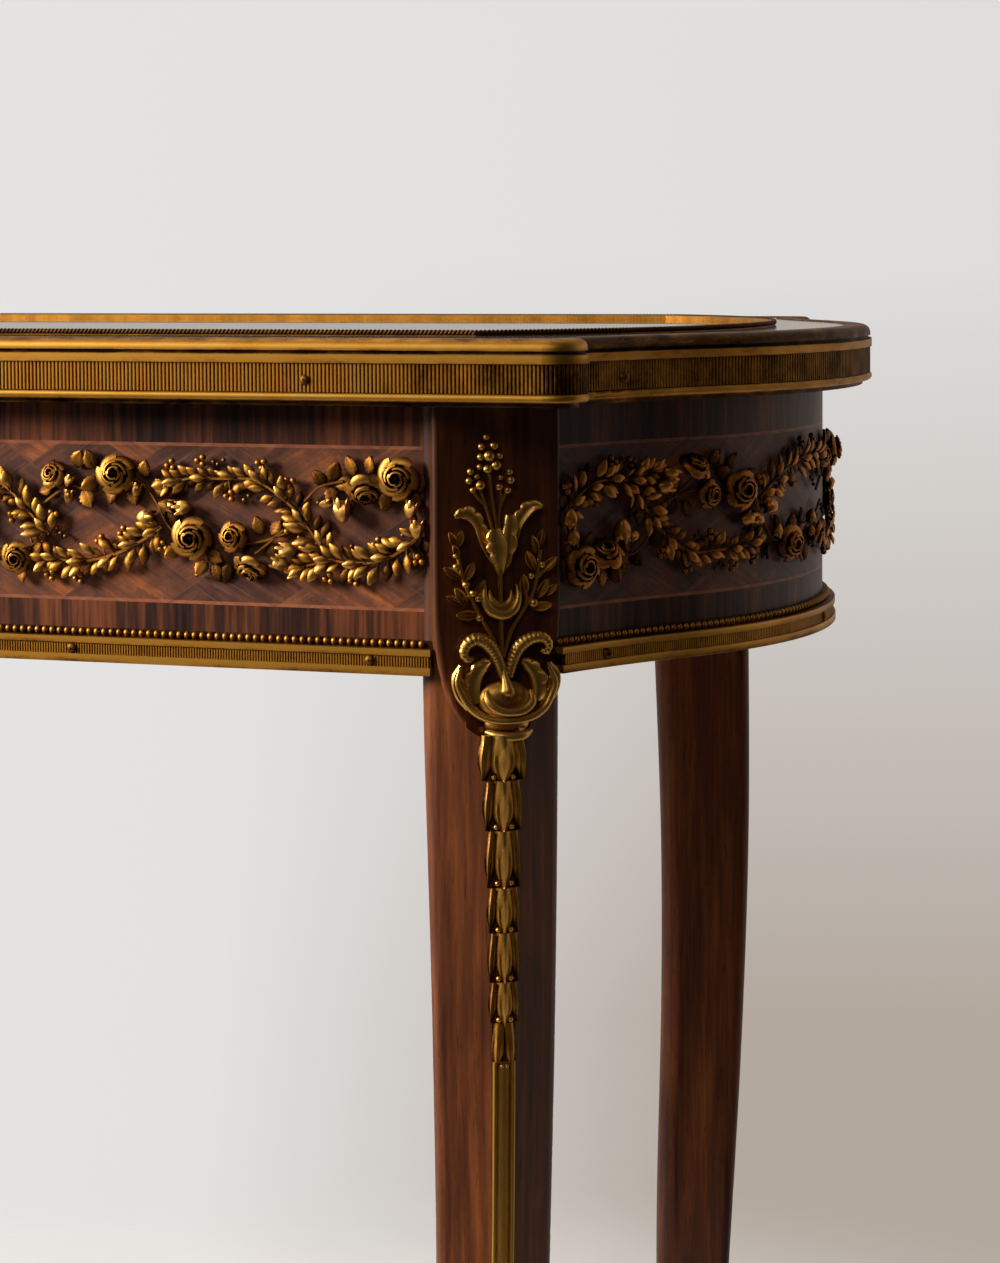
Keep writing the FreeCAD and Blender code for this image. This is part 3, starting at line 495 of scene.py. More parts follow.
def sprig(bm, path, draw):
    """Stem with stalked leaves to both sides, some lying over it, and berries in threes."""
    steps = stations(path, SPRIG_STEP)
    last = len(steps) - 1
    stem = [(x, y, SPRIG_STEM) for x, y in path]
    tube(bm, stem, [1.0] * (len(path) - 1) + [0.6], 4 * len(path))
    for i, (point, heading) in enumerate(steps):
        share = i / last
        ahead = Vector((math.cos(math.radians(heading)), math.sin(math.radians(heading))))
        for side in (1, -1):
            lean = side * (54 - 18 * share + draw.uniform(-15, 15))
            size = SPRIG_LEAF * (0.80 + 0.34 * draw.random()) * (1.0 - 0.14 * share)
            spot = point.to_2d() + ahead * (1.3 * side)
            cast(bm, LEAF, laid(spot.x, spot.y, 2.2 + draw.uniform(0, 1.8), heading + lean,
                                draw.uniform(-8, 20), side * draw.uniform(-40, 40), size))
        if i % 3 == 0:
            cast(bm, LEAF, laid(point.x, point.y, 4.4, heading + draw.uniform(-24, 24),
                                draw.uniform(6, 16), draw.uniform(-20, 20), SPRIG_LEAF * 0.84))
        if i % 3 == 1:
            spot = point.to_2d() + Vector((-ahead.y, ahead.x)) * (8.4 * draw.choice((1, -1)))
            tube(bm, [(point.x, point.y, SPRIG_STEM), (spot.x, spot.y, 2.6)], 0.55, 3)
            for turn in range(3):
                angle = math.radians(heading + 120 * turn)
                x, y = spot.x + 1.9 * math.cos(angle), spot.y + 1.9 * math.sin(angle)
                cast(bm, BERRY, laid(x, y, 3.2, size=3.3))
    tip, heading = steps[-1]
    cast(bm, LEAF, laid(tip.x, tip.y, 2.8, heading, 8, 0, SPRIG_LEAF))


def half_garland(bm, spread):
    """Right half of a garland; spots that spread takes past the middle are left out."""
    draw = random.Random(11)
    for path in SPRIGS:
        moved = [(spread(x), y) for x, y in path]
        if moved[-1][0] > -8:
            sprig(bm, moved, draw)
    for path in TWIGS:
        moved = [(spread(x), y, 2.8) for x, y in path]
        if moved[-1][0] > 0 and moved[0][0] > -6:
            tube(bm, moved, 0.75, 4 * len(path))

    def kept(table):
        return [(spread(x), *rest) for x, *rest in table if spread(x) > 2]

    for x, y, size, pitch, yaw in kept(ROSES):
        tilt = Matrix.Rotation(math.radians(-pitch), 4, "X") @ Matrix.Rotation(math.radians(yaw), 4, "Y")
        spin = Matrix.Rotation(draw.uniform(0, 6), 4, "Z")
        cast(bm, ROSE, Matrix.Translation((x, y, 2.0)) @ tilt @ spin @ Matrix.Diagonal((size, size, size, 1)))
    for x, y, size, angle in kept(BROAD_LEAVES):
        cast(bm, BROAD, laid(x, y, 2.0 + draw.uniform(0, 1.4), angle, draw.uniform(-4, 18),
                             draw.uniform(-24, 24), size * 1.08))
    for x, y, size, angle in kept(BUDS):
        cast(bm, BUD, laid(x, y, 4.0, angle, draw.uniform(-6, 10), draw.uniform(0, 90), size))
    for x, y in kept(BERRIES):
        cast(bm, BERRY, laid(x, y, 2.6, size=2.2))


def garland(bm, half, turned_over):
    """Both halves: the other one mirrored, or also turned over where the strands cross in the middle."""
    cast(bm, half, IDENTITY)
    cast(bm, half, Matrix.Diagonal((-1, -1 if turned_over else 1, 1, 1)))


# Chute on the tablet: places are across, up from the frieze's lower edge, and out.

# Across, up and size
BERRY_SPRAY = [
    (-5.8, 112.3, 3.2), (-8.2, 107.9, 3.6), (-2.2, 108.2, 4.1), (-4.8, 103.5, 5.4), (-8.7, 103, 3.6),
    (0.4, 103.5, 3.6), (-1.3, 99.1, 5.0), (-5.5, 97.3, 4.4), (-9.0, 98.4, 3.0), (-13.6, 96.3, 3.4),
    (-14.3, 91.9, 3.4), (-10.3, 93.9, 2.9), (-9.1, 89.8, 4.9), (-12.4, 87.5, 3.2), (5.2, 95.8, 3.5),
    (0.9, 93.2, 2.9), (5.7, 92, 4.1), (0.2, 88.9, 3.8), (4.2, 87.1, 3.7),
]
BERRY_STEMS = [
    [(-4.4, 97, 2), (-3.4, 86, 1.8), (-1.6, 74, 1.8), (0, 64, 1.8)],
    [(-9, 88, 1.8), (-6, 80, 1.6), (-3, 70, 1.6), (-1, 62, 1.6)],
    [(1, 88, 1.8), (1.2, 82, 1.6), (0.2, 74, 1.6), (0.4, 64, 1.6)],
    [(-12, 87, 1.6), (-9, 83, 1.5), (-6, 80, 1.5)], [(4.6, 88, 1.6), (2.4, 83, 1.5), (0.9, 79, 1.5)],
]
# Run, widths, number of teeth and the toothed edge
CHUTE_BLADES = [
    (
        [
            (0.6, 50, 2.2), (-3.5, 57, 3.0), (-7.0, 64, 3.2), (-9.4, 71, 3.4), (-12.8, 75.6, 3.8),
            (-17, 77.2, 4.4), (-21.6, 75.6, 5.0),
        ],
        [2, 4.2, 4.6, 4.6, 5.4, 4.8, 0.8], 6, -1,
    ),
    (
        [
            (1.4, 50, 2.2), (4.6, 58, 3.0), (6.6, 65, 3.2), (9.0, 71.5, 3.4), (12, 76.6, 3.8),
            (15.8, 79.8, 4.4), (20.6, 79.4, 5.0),
        ],
        [2, 4.2, 4.6, 4.6, 5.4, 4.8, 0.8], 6, 1,
    ),
    ([(1.6, 49, 2.2), (3.6, 57, 3.8), (4.8, 66, 4.8), (5.2, 75.6, 5.6)], [2.4, 5.6, 6.6, 4.0], 3, -1),
    ([(0.9, 47.6, 2.6), (-0.4, 55, 5.0), (-1.8, 62, 6.2), (-3.4, 69, 6.8)], [2.4, 6.4, 8.8, 5.0], 4, 1),
]
LAUREL_STEMS = [
    [
        (1.0, 8, 2), (-3.1, 17.5, 2), (-6.4, 23.3, 2), (-10, 30, 2), (-13.5, 37, 2), (-17, 45, 2),
        (-19.2, 54.5, 1.8), (-21, 62, 1.6),
    ],
    [
        (2.2, 8, 2), (4.2, 15.6, 2), (7.2, 23.2, 2), (12.8, 31.9, 2), (16.6, 38, 2), (18.7, 47, 2),
        (20.4, 58.6, 1.6),
    ],
    [(12.8, 31.9, 2), (13.4, 36, 2), (12.4, 40, 2)], [(-13.5, 37, 2), (-18, 36.8, 2)],
    [(18.2, 45, 2), (22, 49, 2)],
]
# Across, up, size and heading in degrees
CHUTE_LEAVES = [
    (-20.6, 61, 8, 118), (-19.8, 61, 8, 78), (-19.5, 55, 7.5, 112), (-18.6, 46, 10, 148),
    (-16.4, 45, 9.5, 66), (-12, 37, 9.5, 62), (-16, 33, 10.5, 124), (-18, 34, 8.5, 152),
    (-10.5, 28.5, 10.5, 178), (20, 60, 8.5, 82), (18.8, 57, 9, 112), (17.6, 49, 10.5, 116),
    (21, 48, 10, 44), (12.4, 37, 10.5, 96), (19, 36, 10, 62), (22, 37, 8, 40), (15.5, 31.5, 10, 6),
]
CHUTE_BERRIES = [
    (-20.9, 51.7, 3.2), (-16.1, 43.1, 3.8), (-12.7, 39, 3.6), (-10.2, 36.4, 3.6), (-9.6, 27.3, 4.2),
    (20.9, 51.6, 3.4), (15.4, 46.4, 3.4), (16.6, 33.5, 4.6), (-21, 57, 2.8),
]
# Run and radii
CRESCENT = [
    (
        [
            (-6.6, 42.6, 2), (-7.4, 37.0, 2.8), (-4.8, 31.0, 3.6), (1.0, 28.6, 4.0), (6.4, 30.6, 3.6),
            (9.2, 36.2, 2.8), (8.6, 42.6, 2),
        ],
        [0.6, 1.8, 2.5, 2.8, 2.5, 1.8, 0.5],
    ),
    (
        [
            (-4.4, 40.0, 1.4), (-4.0, 36.0, 1.6), (-1.8, 33.0, 2.0), (1.2, 32.0, 2.2), (4.0, 33.0, 2.0),
            (6.0, 36.0, 1.6), (6.2, 40.0, 1.4),
        ],
        [0.5, 1.9, 2.4, 2.6, 2.4, 1.9, 0.5],
    ),
]
HORNS = [
    (
        [
            (1.8, -1, 4), (-1.7, 8.5, 4), (-6.1, 14.8, 4.2), (-11.4, 17.4, 4.4), (-16.0, 15.2, 4.6),
            (-17.8, 11, 4.6), (-15.6, 7.8, 4.2), (-13, 8.4, 3.8),
        ],
        [2.0, 2.9, 3.2, 3.2, 2.8, 2.2, 1.7, 1.2],
    ),
    (
        [
            (4.0, -1, 4), (6.0, 6.8, 4), (9.3, 13.2, 4.2), (14.6, 17.0, 4.4), (20.0, 17.4, 4.6),
            (23.4, 14.2, 4.6), (22.6, 10.6, 4.2), (19.8, 11.2, 3.8),
        ],
        [2.0, 2.9, 3.2, 3.2, 2.8, 2.2, 1.7, 1.2],
    ),
]
DROP = (
    [(1.2, 6, 4.4), (1.6, 0, 5.4), (2.4, -4.5, 6.4), (2.8, -8.2, 6.8), (2.8, -11.4, 6.6)],
    [1.1, 1.7, 2.9, 3.7, 0.8],
)
CUP_BLADES = [
    ([(-15, -15, 5), (-19.2, -8, 4.8), (-20.8, -1, 4.8), (-19.4, 5.2, 5.6)], [3, 5.0, 4.4, 0.8], 3, -1),
    ([(20.8, -15, 5), (25.0, -8, 4.8), (26.4, -1, 4.8), (23.6, 5.2, 5.6)], [3, 5.0, 4.4, 0.8], 3, 1),
    (
        [(-12.4, -13, 5), (-13.8, -5.4, 4.8), (-12, 0.8, 5.0), (-8.5, 5.2, 5.6), (-5.2, 6.6, 6)],
        [3, 6.4, 6.0, 4.8, 0.8], 4, 1,
    ),
    (
        [(18.0, -13, 5), (19.2, -5.4, 4.8), (17.2, 0.8, 5.0), (13.6, 4.8, 5.6), (10.4, 6.2, 6)],
        [3, 6.4, 6.0, 4.8, 0.8], 4, -1,
    ),
]
CUP_RIDGES = [
    (
        [
            (-19.8, 3.6, 5.2), (-20.9, -3, 4.8), (-18.6, -9, 4.8), (-14.4, -15.3, 5.6), (-7.5, -19.8, 8.0),
            (3.1, -21.2, 9.8), (14.0, -19.8, 8.0), (20.9, -16.0, 5.6), (24.6, -10, 4.8), (26.4, -3.6, 4.8),
            (23.4, 3.6, 5.2),
        ],
        [1.0, 1.7, 1.9, 2.0, 1.9, 1.8, 1.9, 2.0, 1.9, 1.7, 1.0],
    ),
    (
        [
            (-7.3, -7.0, 6), (-6.5, -12.3, 8), (-1.8, -16.1, 9.4), (3.9, -17.0, 10), (10, -16.1, 9.4),
            (14.3, -12.3, 8), (14.0, -7.4, 6),
        ],
        [1.2, 2.3, 2.3, 2.2, 2.3, 2.3, 1.2],
    ),
    (
        [(-7.2, -26.8, 4.0), (-2.0, -28.2, 8.2), (4.2, -28.8, 9.4), (10.2, -28.2, 8.2), (14.6, -26.8, 4.0)],
        [1.2, 2.1, 2.3, 2.1, 1.2],
    ),
]
MID_STEM = [(0.9, 52, 2), (0.8, 44, 2), (1.0, 30, 2), (1.2, 12, 2), (1.6, 0, 2.4)]
# Middle and size of the two swellings of the cup
CUP_BOSSES = [(3.0, -12, 27, 20, 11), (3.6, -23, 23, 13, 14)]


def chute(bm):
    for u, y, size in BERRY_SPRAY:
        cast(bm, BERRY, laid(u, y, size * 0.5 + 0.8, size=size))
    for path in BERRY_STEMS:
        tube(bm, path, 0.95)
    for points, widths, teeth, toothed in CHUTE_BLADES:
        blade(bm, points, widths, teeth, toothed)
    tube(bm, MID_STEM, 1.2)
    for points, radii in CRESCENT:
        tube(bm, points, radii, 24, 12)
    for path in LAUREL_STEMS:
        tube(bm, path, 1.05, 14)
    for u, y, size, angle in CHUTE_LEAVES:
        cast(bm, BAY, laid(u, y, 1.9, angle, 8, (u * 37 + y * 13) % 40 - 20, size))
    for u, y, size in CHUTE_BERRIES:
        cast(bm, BERRY, laid(u, y, 2.8, size=size))
    for points, radii in HORNS:
        tube(bm, points, radii, 110, 12, 0.055, 2.0)
    tube(bm, *DROP, 20, 12)
    for x, y, wide, tall, deep in CUP_BOSSES:
        cast(bm, BERRY, Matrix.Translation((x, y, 0.4)) @ Matrix.Diagonal((wide, tall, deep, 1)))
    for points, widths, teeth, toothed in CUP_BLADES:
        blade(bm, points, widths, teeth, toothed, 0.2, 1.2)
    for points, radii in CUP_RIDGES:
        tube(bm, points, radii, 36, 10)
    cast(bm, LEAF, laid(4.8, -27.6, 8.4, -90, -30, 0, 6, 1.3))


# Husks, sabot leaves and reeded strip on the arris

def husk(bm, width, length):
    """Three ribbed leaves hanging round the arris, seeds between their points."""
    for place, out, share, wide in ((-0.35, 0.2, 1.0, 0.36), (0.35, 0.2, 1.0, 0.36), (0.0, 1.6, 1.12, 0.52)):
        cast(bm, HUSK_LEAF, laid(place * width, 0.8, out, -90 + place * 10, -2, -place * 100,
                                 length * share, width * wide / length, width * 0.9 / length))
    cast(bm, BERRY, Matrix.Translation((0, 0.2, 0.2)) @ Matrix.Diagonal((width * 0.78, 2.6, 5.4, 1)))
    for side in (-1, 1):
        cast(bm, BERRY, laid(side * width * 0.22, -length * 0.88, 2.2, size=2.7))
        cast(bm, BERRY, laid(side * width * 0.21, -length * 0.62, 1.4, size=2.0))


def cuff(bm, width, length):
    """Split end of the chain over the head of the strip."""
    for side in (-1, 1):
        cast(bm, HUSK_LEAF, laid(side * width * 0.26, 0.6, 1.0, -90 + side * 3, -1, -side * 24,
                                 length * 1.1, width * 0.56 / length, width * 0.8 / length))
        cast(bm, BERRY, laid(side * 1.2, -length * 0.94, 2.0, size=2.2))


def husk_chain(bm):
    for top, low, width in zip(HUSK_LEVELS, HUSK_LEVELS[1:], HUSK_WIDTHS):
        link_mesh = pattern(cuff if low == HUSK_LEVELS[-1] else husk, width, top - low)
        cast(bm, link_mesh, Matrix.Translation((0, top - FRIEZE_BOTTOM, 0)))


def sabot_leaf(bm):
    """Leaf that climbs from the toe of the sabot onto the leg, between two lower ones."""
    leaves = [(-0.7, 6, 44, 0.30, 0.6), (0.7, 6, 44, 0.30, 0.6), (0.0, 3, 66, 0.24, 3.0)]
    for place, low, tall, wide, out in leaves:
        cast(bm, HUSK_LEAF, laid(place * 12, low - FRIEZE_BOTTOM, out, 90, 0, place * 60, tall, wide, 0.4))


# Section of the strip: across and out
STRIP_PROFILE = [
    (-5.4, -1.6), (-5.4, 1.5), (-4.9, 2.1), (-3.9, 2.1), (-3.4, 1.6), (-3.2, 0.6), (-2.8, 0.7), (-1.8, 1.7),
    (0, 2.1), (1.8, 1.7), (2.8, 0.7), (3.2, 0.6), (3.4, 1.6), (3.9, 2.1), (4.9, 2.1), (5.4, 1.5),
    (5.4, -1.6),
]


def leg_strip(bm):
    outline = [(u, STRIP_TOP - FRIEZE_BOTTOM, w) for u, w in STRIP_PROFILE]
    drawn(bm, outline, (0, (STRIP_LOW - STRIP_TOP) / STRIP_STEPS, 0), STRIP_STEPS)


# Nodes of the finishes

FLOAT, COLOUR, VECTOR = "NodeSocketFloat", "NodeSocketColor", "NodeSocketVector"


def link(tree, source, target):
    tree.links.new(source, target)


def feed(tree, socket, value):
    """Link a socket to another one, or set it to a plain value."""
    if isinstance(value, bpy.types.NodeSocket):
        link(tree, value, socket)
    else:
        socket.default_value = value


def add(tree, kind, inputs=(), **settings):
    node = tree.nodes.new(kind)
    for name, value in settings.items():
        setattr(node, name, value)
    for name, value in dict(inputs).items():
        feed(tree, node.inputs[name], value)
    return node


def sums(tree, operation, a, b=0.0, c=0.0):
    return add(tree, "ShaderNodeMath", {0: a, 1: b, 2: c}, operation=operation).outputs[0]


def weighted(tree, *terms):
    """Sum of values, each times its own share."""
    total = 0.0
    for value, share in terms:
        total = sums(tree, "MULTIPLY_ADD", value, share, total)
    return total


def noise(tree, vector, scale, detail, roughness=0.5, distortion=0.0):
    return add(tree, "ShaderNodeTexNoise", {"Vector": vector, "Scale": scale, "Detail": detail,
                                            "Roughness": roughness, "Distortion": distortion}).outputs[0]


def mapped(tree, vector, **values):
    inputs = {name.capitalize(): value for name, value in values.items()}
    return add(tree, "ShaderNodeMapping", {"Vector": vector, **inputs}).outputs[0]


def parts(tree, vector):
    return add(tree, "ShaderNodeSeparateXYZ", {"Vector": vector}).outputs


def joined(tree, x, y, z=0.0):
    return add(tree, "ShaderNodeCombineXYZ", {"X": x, "Y": y, "Z": z}).outputs[0]


def ranged(tree, value, low, high, to_low=0.0, to_high=1.0, **settings):
    return add(tree, "ShaderNodeMapRange", {"Value": value, "From Min": low, "From Max": high,
                                            "To Min": to_low, "To Max": to_high}, **settings).outputs[0]


def clamped(tree, value):
    return add(tree, "ShaderNodeClamp", {"Value": value}).outputs[0]


def ramp(tree, factor, stops):
    node = add(tree, "ShaderNodeValToRGB", {"Fac": factor})
    while len(node.color_ramp.elements) < len(stops):
        node.color_ramp.elements.new(0.5)
    for element, (place, colour) in zip(node.color_ramp.elements, stops):
        element.position = place
        element.color = (*colour, 1.0)
    return node.outputs["Color"]


def blended(tree, factor, a, b, mode="MIX"):
    node = add(tree, "ShaderNodeMix", data_type="RGBA", blend_type=mode)
    for name, value in (("Factor", factor), ("A", a), ("B", b)):
        socket = next(s for s in node.inputs if s.name == name and s.enabled)
        feed(tree, socket, (*value, 1.0) if isinstance(value, tuple) else value)
    return next(s for s in node.outputs if s.enabled)


def bump(tree, height, strength, distance):
    inputs = {"Height": height, "Strength": strength, "Distance": distance}
    return add(tree, "ShaderNodeBump", inputs).outputs[0]


def group(name, inputs, outputs):
    tree = bpy.data.node_groups.new(name, "ShaderNodeTree")
    for label, kind in inputs:
        tree.interface.new_socket(name=label, in_out="INPUT", socket_type=kind)
    for label, kind in outputs:
        tree.interface.new_socket(name=label, in_out="OUTPUT", socket_type=kind)
    return tree, tree.nodes.new("NodeGroupInput").outputs, tree.nodes.new("NodeGroupOutput").inputs


def placed(tree, group_tree, **values):
    return add(tree, "ShaderNodeGroup", values, node_tree=group_tree).outputs


def material(name):
    mat = bpy.data.materials.new(name)
    mat.use_nodes = True
    return mat, mat.node_tree, mat.node_tree.nodes["Principled BSDF"].inputs


def settle_skin(skin, **values):
    """Plain values on the shader's own sockets."""
    for name, value in values.items():
        skin[name.replace("_", " ")].default_value = value


def object_place(tree):
    return add(tree, "ShaderNodeTexCoord").outputs["Object"]


# Effects that several finishes share

def wood_figure_group():
    """Grain that runs along Z of the vector given: broad figure, fine streaks and pores."""
    tree, given, out = group("wood figure", [("Vector", VECTOR)],
                             [("Figure", FLOAT), ("Streaks", FLOAT), ("Pores", FLOAT)])
    layers = [("Figure", 0.10, 22, 5, 0.6), ("Streaks", 0.045, 260, 4, 0.1), ("Pores", 0.06, 900, 2, 0.1)]
    for label, stretch, scale, detail, distortion in layers:
        vector = mapped(tree, given["Vector"], scale=(1, 1, stretch))
        link(tree, noise(tree, vector, scale, detail, 0.6, distortion), out[label])
    return tree


def lozenges(tree, along, height):
    """Joints between the lozenges, a tone for each one, and its two directions of grain."""
    across = sums(tree, "DIVIDE", along, LOZENGE_WIDE)
    up = sums(tree, "DIVIDE", height, LOZENGE_TALL)
    rows = [sums(tree, "ADD", across, up), sums(tree, "SUBTRACT", across, up)]
    cells = [sums(tree, "FLOOR", row) for row in rows]
    edges = []
    for row in rows:
        part = sums(tree, "FRACT", row)
        edges.append(sums(tree, "MINIMUM", part, sums(tree, "SUBTRACT", 1.0, part)))
    joint = sums(tree, "LESS_THAN", sums(tree, "MINIMUM", *edges), LOZENGE_JOINT)
    cell = joined(tree, *cells)
    tone = add(tree, "ShaderNodeTexWhiteNoise", {"Vector": cell}, noise_dimensions="3D").outputs["Value"]
    parity = sums(tree, "ABSOLUTE", sums(tree, "MODULO", sums(tree, "ADD", *cells), 2.0))
    slant = sums(tree, "MULTIPLY", sums(tree, "SUBTRACT", parity, 0.5), GRAIN_SLANT)
    cosine, sine = sums(tree, "COSINE", slant), sums(tree, "SINE", slant)
    turned_x = sums(tree, "SUBTRACT", sums(tree, "MULTIPLY", along, cosine),
                    sums(tree, "MULTIPLY", height, sine))
    turned_z = sums(tree, "ADD", sums(tree, "MULTIPLY", along, sine), sums(tree, "MULTIPLY", height, cosine))
    return joint, tone, joined(tree, turned_x, tone, turned_z)


def parquetry_group(figure):
    """Frieze: dark cross bands, pale stringing, a field of lozenges with slanting grain."""
    tree, given, out = group("lozenge parquetry", [("Along", FLOAT), ("Height", FLOAT)],
                             [("Color", COLOUR), ("Bump", FLOAT)])
    along, height = given["Along"], given["Height"]
    joint, tone, slanted = lozenges(tree, along, height)
    grain = placed(tree, figure, Vector=slanted)
    cloud = noise(tree, joined(tree, along, 0.7, height), 26.0, 7.0, 0.7)
    mixed = weighted(tree, (grain["Figure"], 0.34), (grain["Streaks"], 0.30), (cloud, 0.46),
                     (sums(tree, "SUBTRACT", tone, 0.5), 0.05))
    field = ramp(tree, mixed, [(0.41, (0.020, 0.007, 0.005)), (0.52, (0.082, 0.030, 0.018)),
                               (0.60, (0.155, 0.050, 0.022)), (0.70, (0.46, 0.125, 0.030))])
    scratches = sums(tree, "MULTIPLY", sums(tree, "GREATER_THAN", grain["Pores"], 0.64), 0.22)
    field = blended(tree, scratches, field, (0.26, 0.15, 0.11))
    field = blended(tree, sums(tree, "MULTIPLY", joint, 0.40), field, (0.15, 0.068, 0.048))
    band_grain = placed(tree, figure, Vector=joined(tree, along, 0.4, height))
    band = ramp(tree, weighted(tree, (band_grain["Figure"], 0.5), (band_grain["Streaks"], 0.55)),
                [(0.42, (0.010, 0.003, 0.002)), (0.53, (0.055, 0.015, 0.006)), (0.66, (0.19, 0.050, 0.014))])
    banded = sums(tree, "ADD", sums(tree, "GREATER_THAN", height, BAND_HIGH),
                  sums(tree, "LESS_THAN", height, BAND_LOW))
    strung = sums(tree, "ADD", sums(tree, "COMPARE", height, BAND_HIGH, STRING_HALF),
                  sums(tree, "COMPARE", height, BAND_LOW, STRING_HALF))
    string = ramp(tree, grain["Streaks"], [(0.35, (0.21, 0.060, 0.026)), (0.65, (0.36, 0.12, 0.055))])
    link(tree, blended(tree, strung, blended(tree, banded, field, band), string), out["Color"])
    link(tree, weighted(tree, (grain["Pores"], 0.5), (joint, -0.6)), out["Bump"])
    return tree


def worn_and_shaded_gilding_group():
    """Gilding over dark patina: bright on the crests, brown and black towards the ground, where the dark is
    partly patina and partly painted shade.
    """
    tree, given, out = group("worn gilding with painted shade", [("Vector", VECTOR), ("Crest", FLOAT), ("Wear", FLOAT)],
                             [("Color", COLOUR), ("Roughness", FLOAT), ("Bump", FLOAT)])
    broad = noise(tree, given["Vector"], 70.0, 5.0, 0.65)
    fine = noise(tree, given["Vector"], 900.0, 3.0, 0.6)
    level = sums(tree, "MULTIPLY_ADD", sums(tree, "SUBTRACT", broad, 0.5), given["Wear"], given["Crest"])
    level = sums(tree, "MULTIPLY_ADD", sums(tree, "SUBTRACT", fine, 0.5), 0.25, level)
    colour = ramp(tree, level, [(0.05, (0.010, 0.004, 0.002)), (0.26, (0.11, 0.042, 0.008)),
                                (0.50, (0.42, 0.170, 0.022)), (0.62, (0.46, 0.205, 0.030)),
                                (0.90, (0.58, 0.300, 0.066))])
    link(tree, colour, out["Color"])
    link(tree, sums(tree, "MULTIPLY_ADD", level, -0.22, 0.62), out["Roughness"])
    link(tree, sums(tree, "MULTIPLY_ADD", fine, 0.4, broad), out["Bump"])
    return tree


FIGURE = wood_figure_group()
PARQUETRY = parquetry_group(FIGURE)
GILDING = worn_and_shaded_gilding_group()


# Finishes

def frieze_veneer(name, bowed):
    mat, tree, skin = material(name)
    place = parts(tree, object_place(tree))
    along = place["X"]
    if bowed:
        off = sums(tree, "SUBTRACT", sums(tree, "ABSOLUTE", place["X"]), BOW_CENTRE * MM)
        along = sums(tree, "MULTIPLY", sums(tree, "ARCTAN2", place["Y"], off), BOW_RADIUS * MM)
    wood = placed(tree, PARQUETRY, Along=along, Height=place["Z"])
    link(tree, wood["Color"], skin["Base Color"])
    link(tree, bump(tree, wood["Bump"], 0.12, 0.0004), skin["Normal"])
    settle_skin(skin, Roughness=0.5, Specular_IOR_Level=0.14, Coat_Weight=0.10, Coat_Roughness=0.20)
    return mat


def post_painted_shade(tree, colour, above):
    """Painted shade on the posts: darker above a level, and most of all on the band beside the tablet."""
    place = parts(tree, object_place(tree))
    upper = ranged(tree, place["Z"], above - 0.012, above)
    from_leg_x = sums(tree, "SUBTRACT", sums(tree, "ABSOLUTE", place["X"]), LEG_X * MM)
    from_leg_y = sums(tree, "SUBTRACT", LEG_Y * MM, sums(tree, "ABSOLUTE", place["Y"]))
    across = weighted(tree, (from_leg_x, math.cos(LEG_TURN)), (from_leg_y, math.sin(LEG_TURN)))
    depth = ranged(tree, across, -0.0312, -0.0275, 0.66, 0.22)
    return blended(tree, sums(tree, "MULTIPLY", upper, depth), colour, (0.012, 0.003, 0.001))


def polished_wood(name, grain_turn, stops, coat, coat_rough, shade_above=0.0):
    mat, tree, skin = material(name)
    grain = placed(tree, FIGURE, Vector=mapped(tree, object_place(tree), rotation=grain_turn))
    colour = ramp(tree, weighted(tree, (grain["Figure"], 0.65), (grain["Streaks"], 0.40)), stops)
    pores = sums(tree, "MULTIPLY", sums(tree, "GREATER_THAN", grain["Pores"], 0.66), 0.5)
    colour = blended(tree, pores, colour, (0.012, 0.005, 0.003))
    # Painted shade on the posts above a level, darkest beside the tablet
    if shade_above:
        colour = post_painted_shade(tree, colour, shade_above)
    link(tree, colour, skin["Base Color"])
    link(tree, bump(tree, grain["Pores"], 0.05, 0.0003), skin["Normal"])
    settle_skin(skin, Roughness=0.5, Specular_IOR_Level=0.14, Coat_Weight=coat, Coat_Roughness=coat_rough)
    return mat


BRASS_TINT = (0.95, 1.0, 0.90)
# Strength and depth of the skin's unevenness, in metres
CAST_SKIN, ROLLED_SKIN = (0.30, 0.0008), (0.06, 0.0004)


def gild(tree, skin, vector, crest, wear, tint, unevenness):
    gold = placed(tree, GILDING, Vector=vector, Crest=crest, Wear=wear)
    link(tree, blended(tree, 1.0, gold["Color"], tint, "MULTIPLY"), skin["Base Color"])
    link(tree, gold["Roughness"], skin["Roughness"])
    link(tree, bump(tree, gold["Bump"], *unevenness), skin["Normal"])
    settle_skin(skin, Metallic=1.0)


def gilt_cast(name, bright, fall, tint):
    """Cast mount, brightest on its crests; a larger fall leaves more of it dark, partly patina and partly
    painted shade.
    """
    mat, tree, skin = material(name)
    crest = add(tree, "ShaderNodeAttribute", attribute_name="crest").outputs["Fac"]
    crest = sums(tree, "MULTIPLY", sums(tree, "POWER", crest, fall), bright)
    gild(tree, skin, object_place(tree), crest, 0.55, tint, CAST_SKIN)
    return mat


def gilt_plain(name, crest, wear, stretch=(1, 1, 1), painted_falloff=0.0):
    """Rolled or turned gilt brass, with painted shade that can take away a share of its brightness towards
    the corners.
    """
    mat, tree, skin = material(name)
    place = object_place(tree)
    if painted_falloff:
        reach = sums(tree, "ABSOLUTE", parts(tree, place)["X"])
        crest = ranged(tree, reach, 0.205, EAR_X * MM, crest, crest * (1 - painted_falloff))
    gild(tree, skin, mapped(tree, place, scale=stretch), crest, wear, BRASS_TINT, ROLLED_SKIN)
    return mat


def gilt_banded(name, low, tall, bands, stretch):
    """Gilt moulding whose bands, from its lower edge up, are bright or dark with patina and painted shade."""
    mat, tree, skin = material(name)
    place = object_place(tree)
    share = sums(tree, "DIVIDE", sums(tree, "SUBTRACT", parts(tree, place)["Z"], low * MM), tall * MM)
    crest = ramp(tree, share, [(at, (level,) * 3) for at, level in bands])
    gild(tree, skin, mapped(tree, place, scale=stretch), crest, 0.8, BRASS_TINT, ROLLED_SKIN)
    return mat


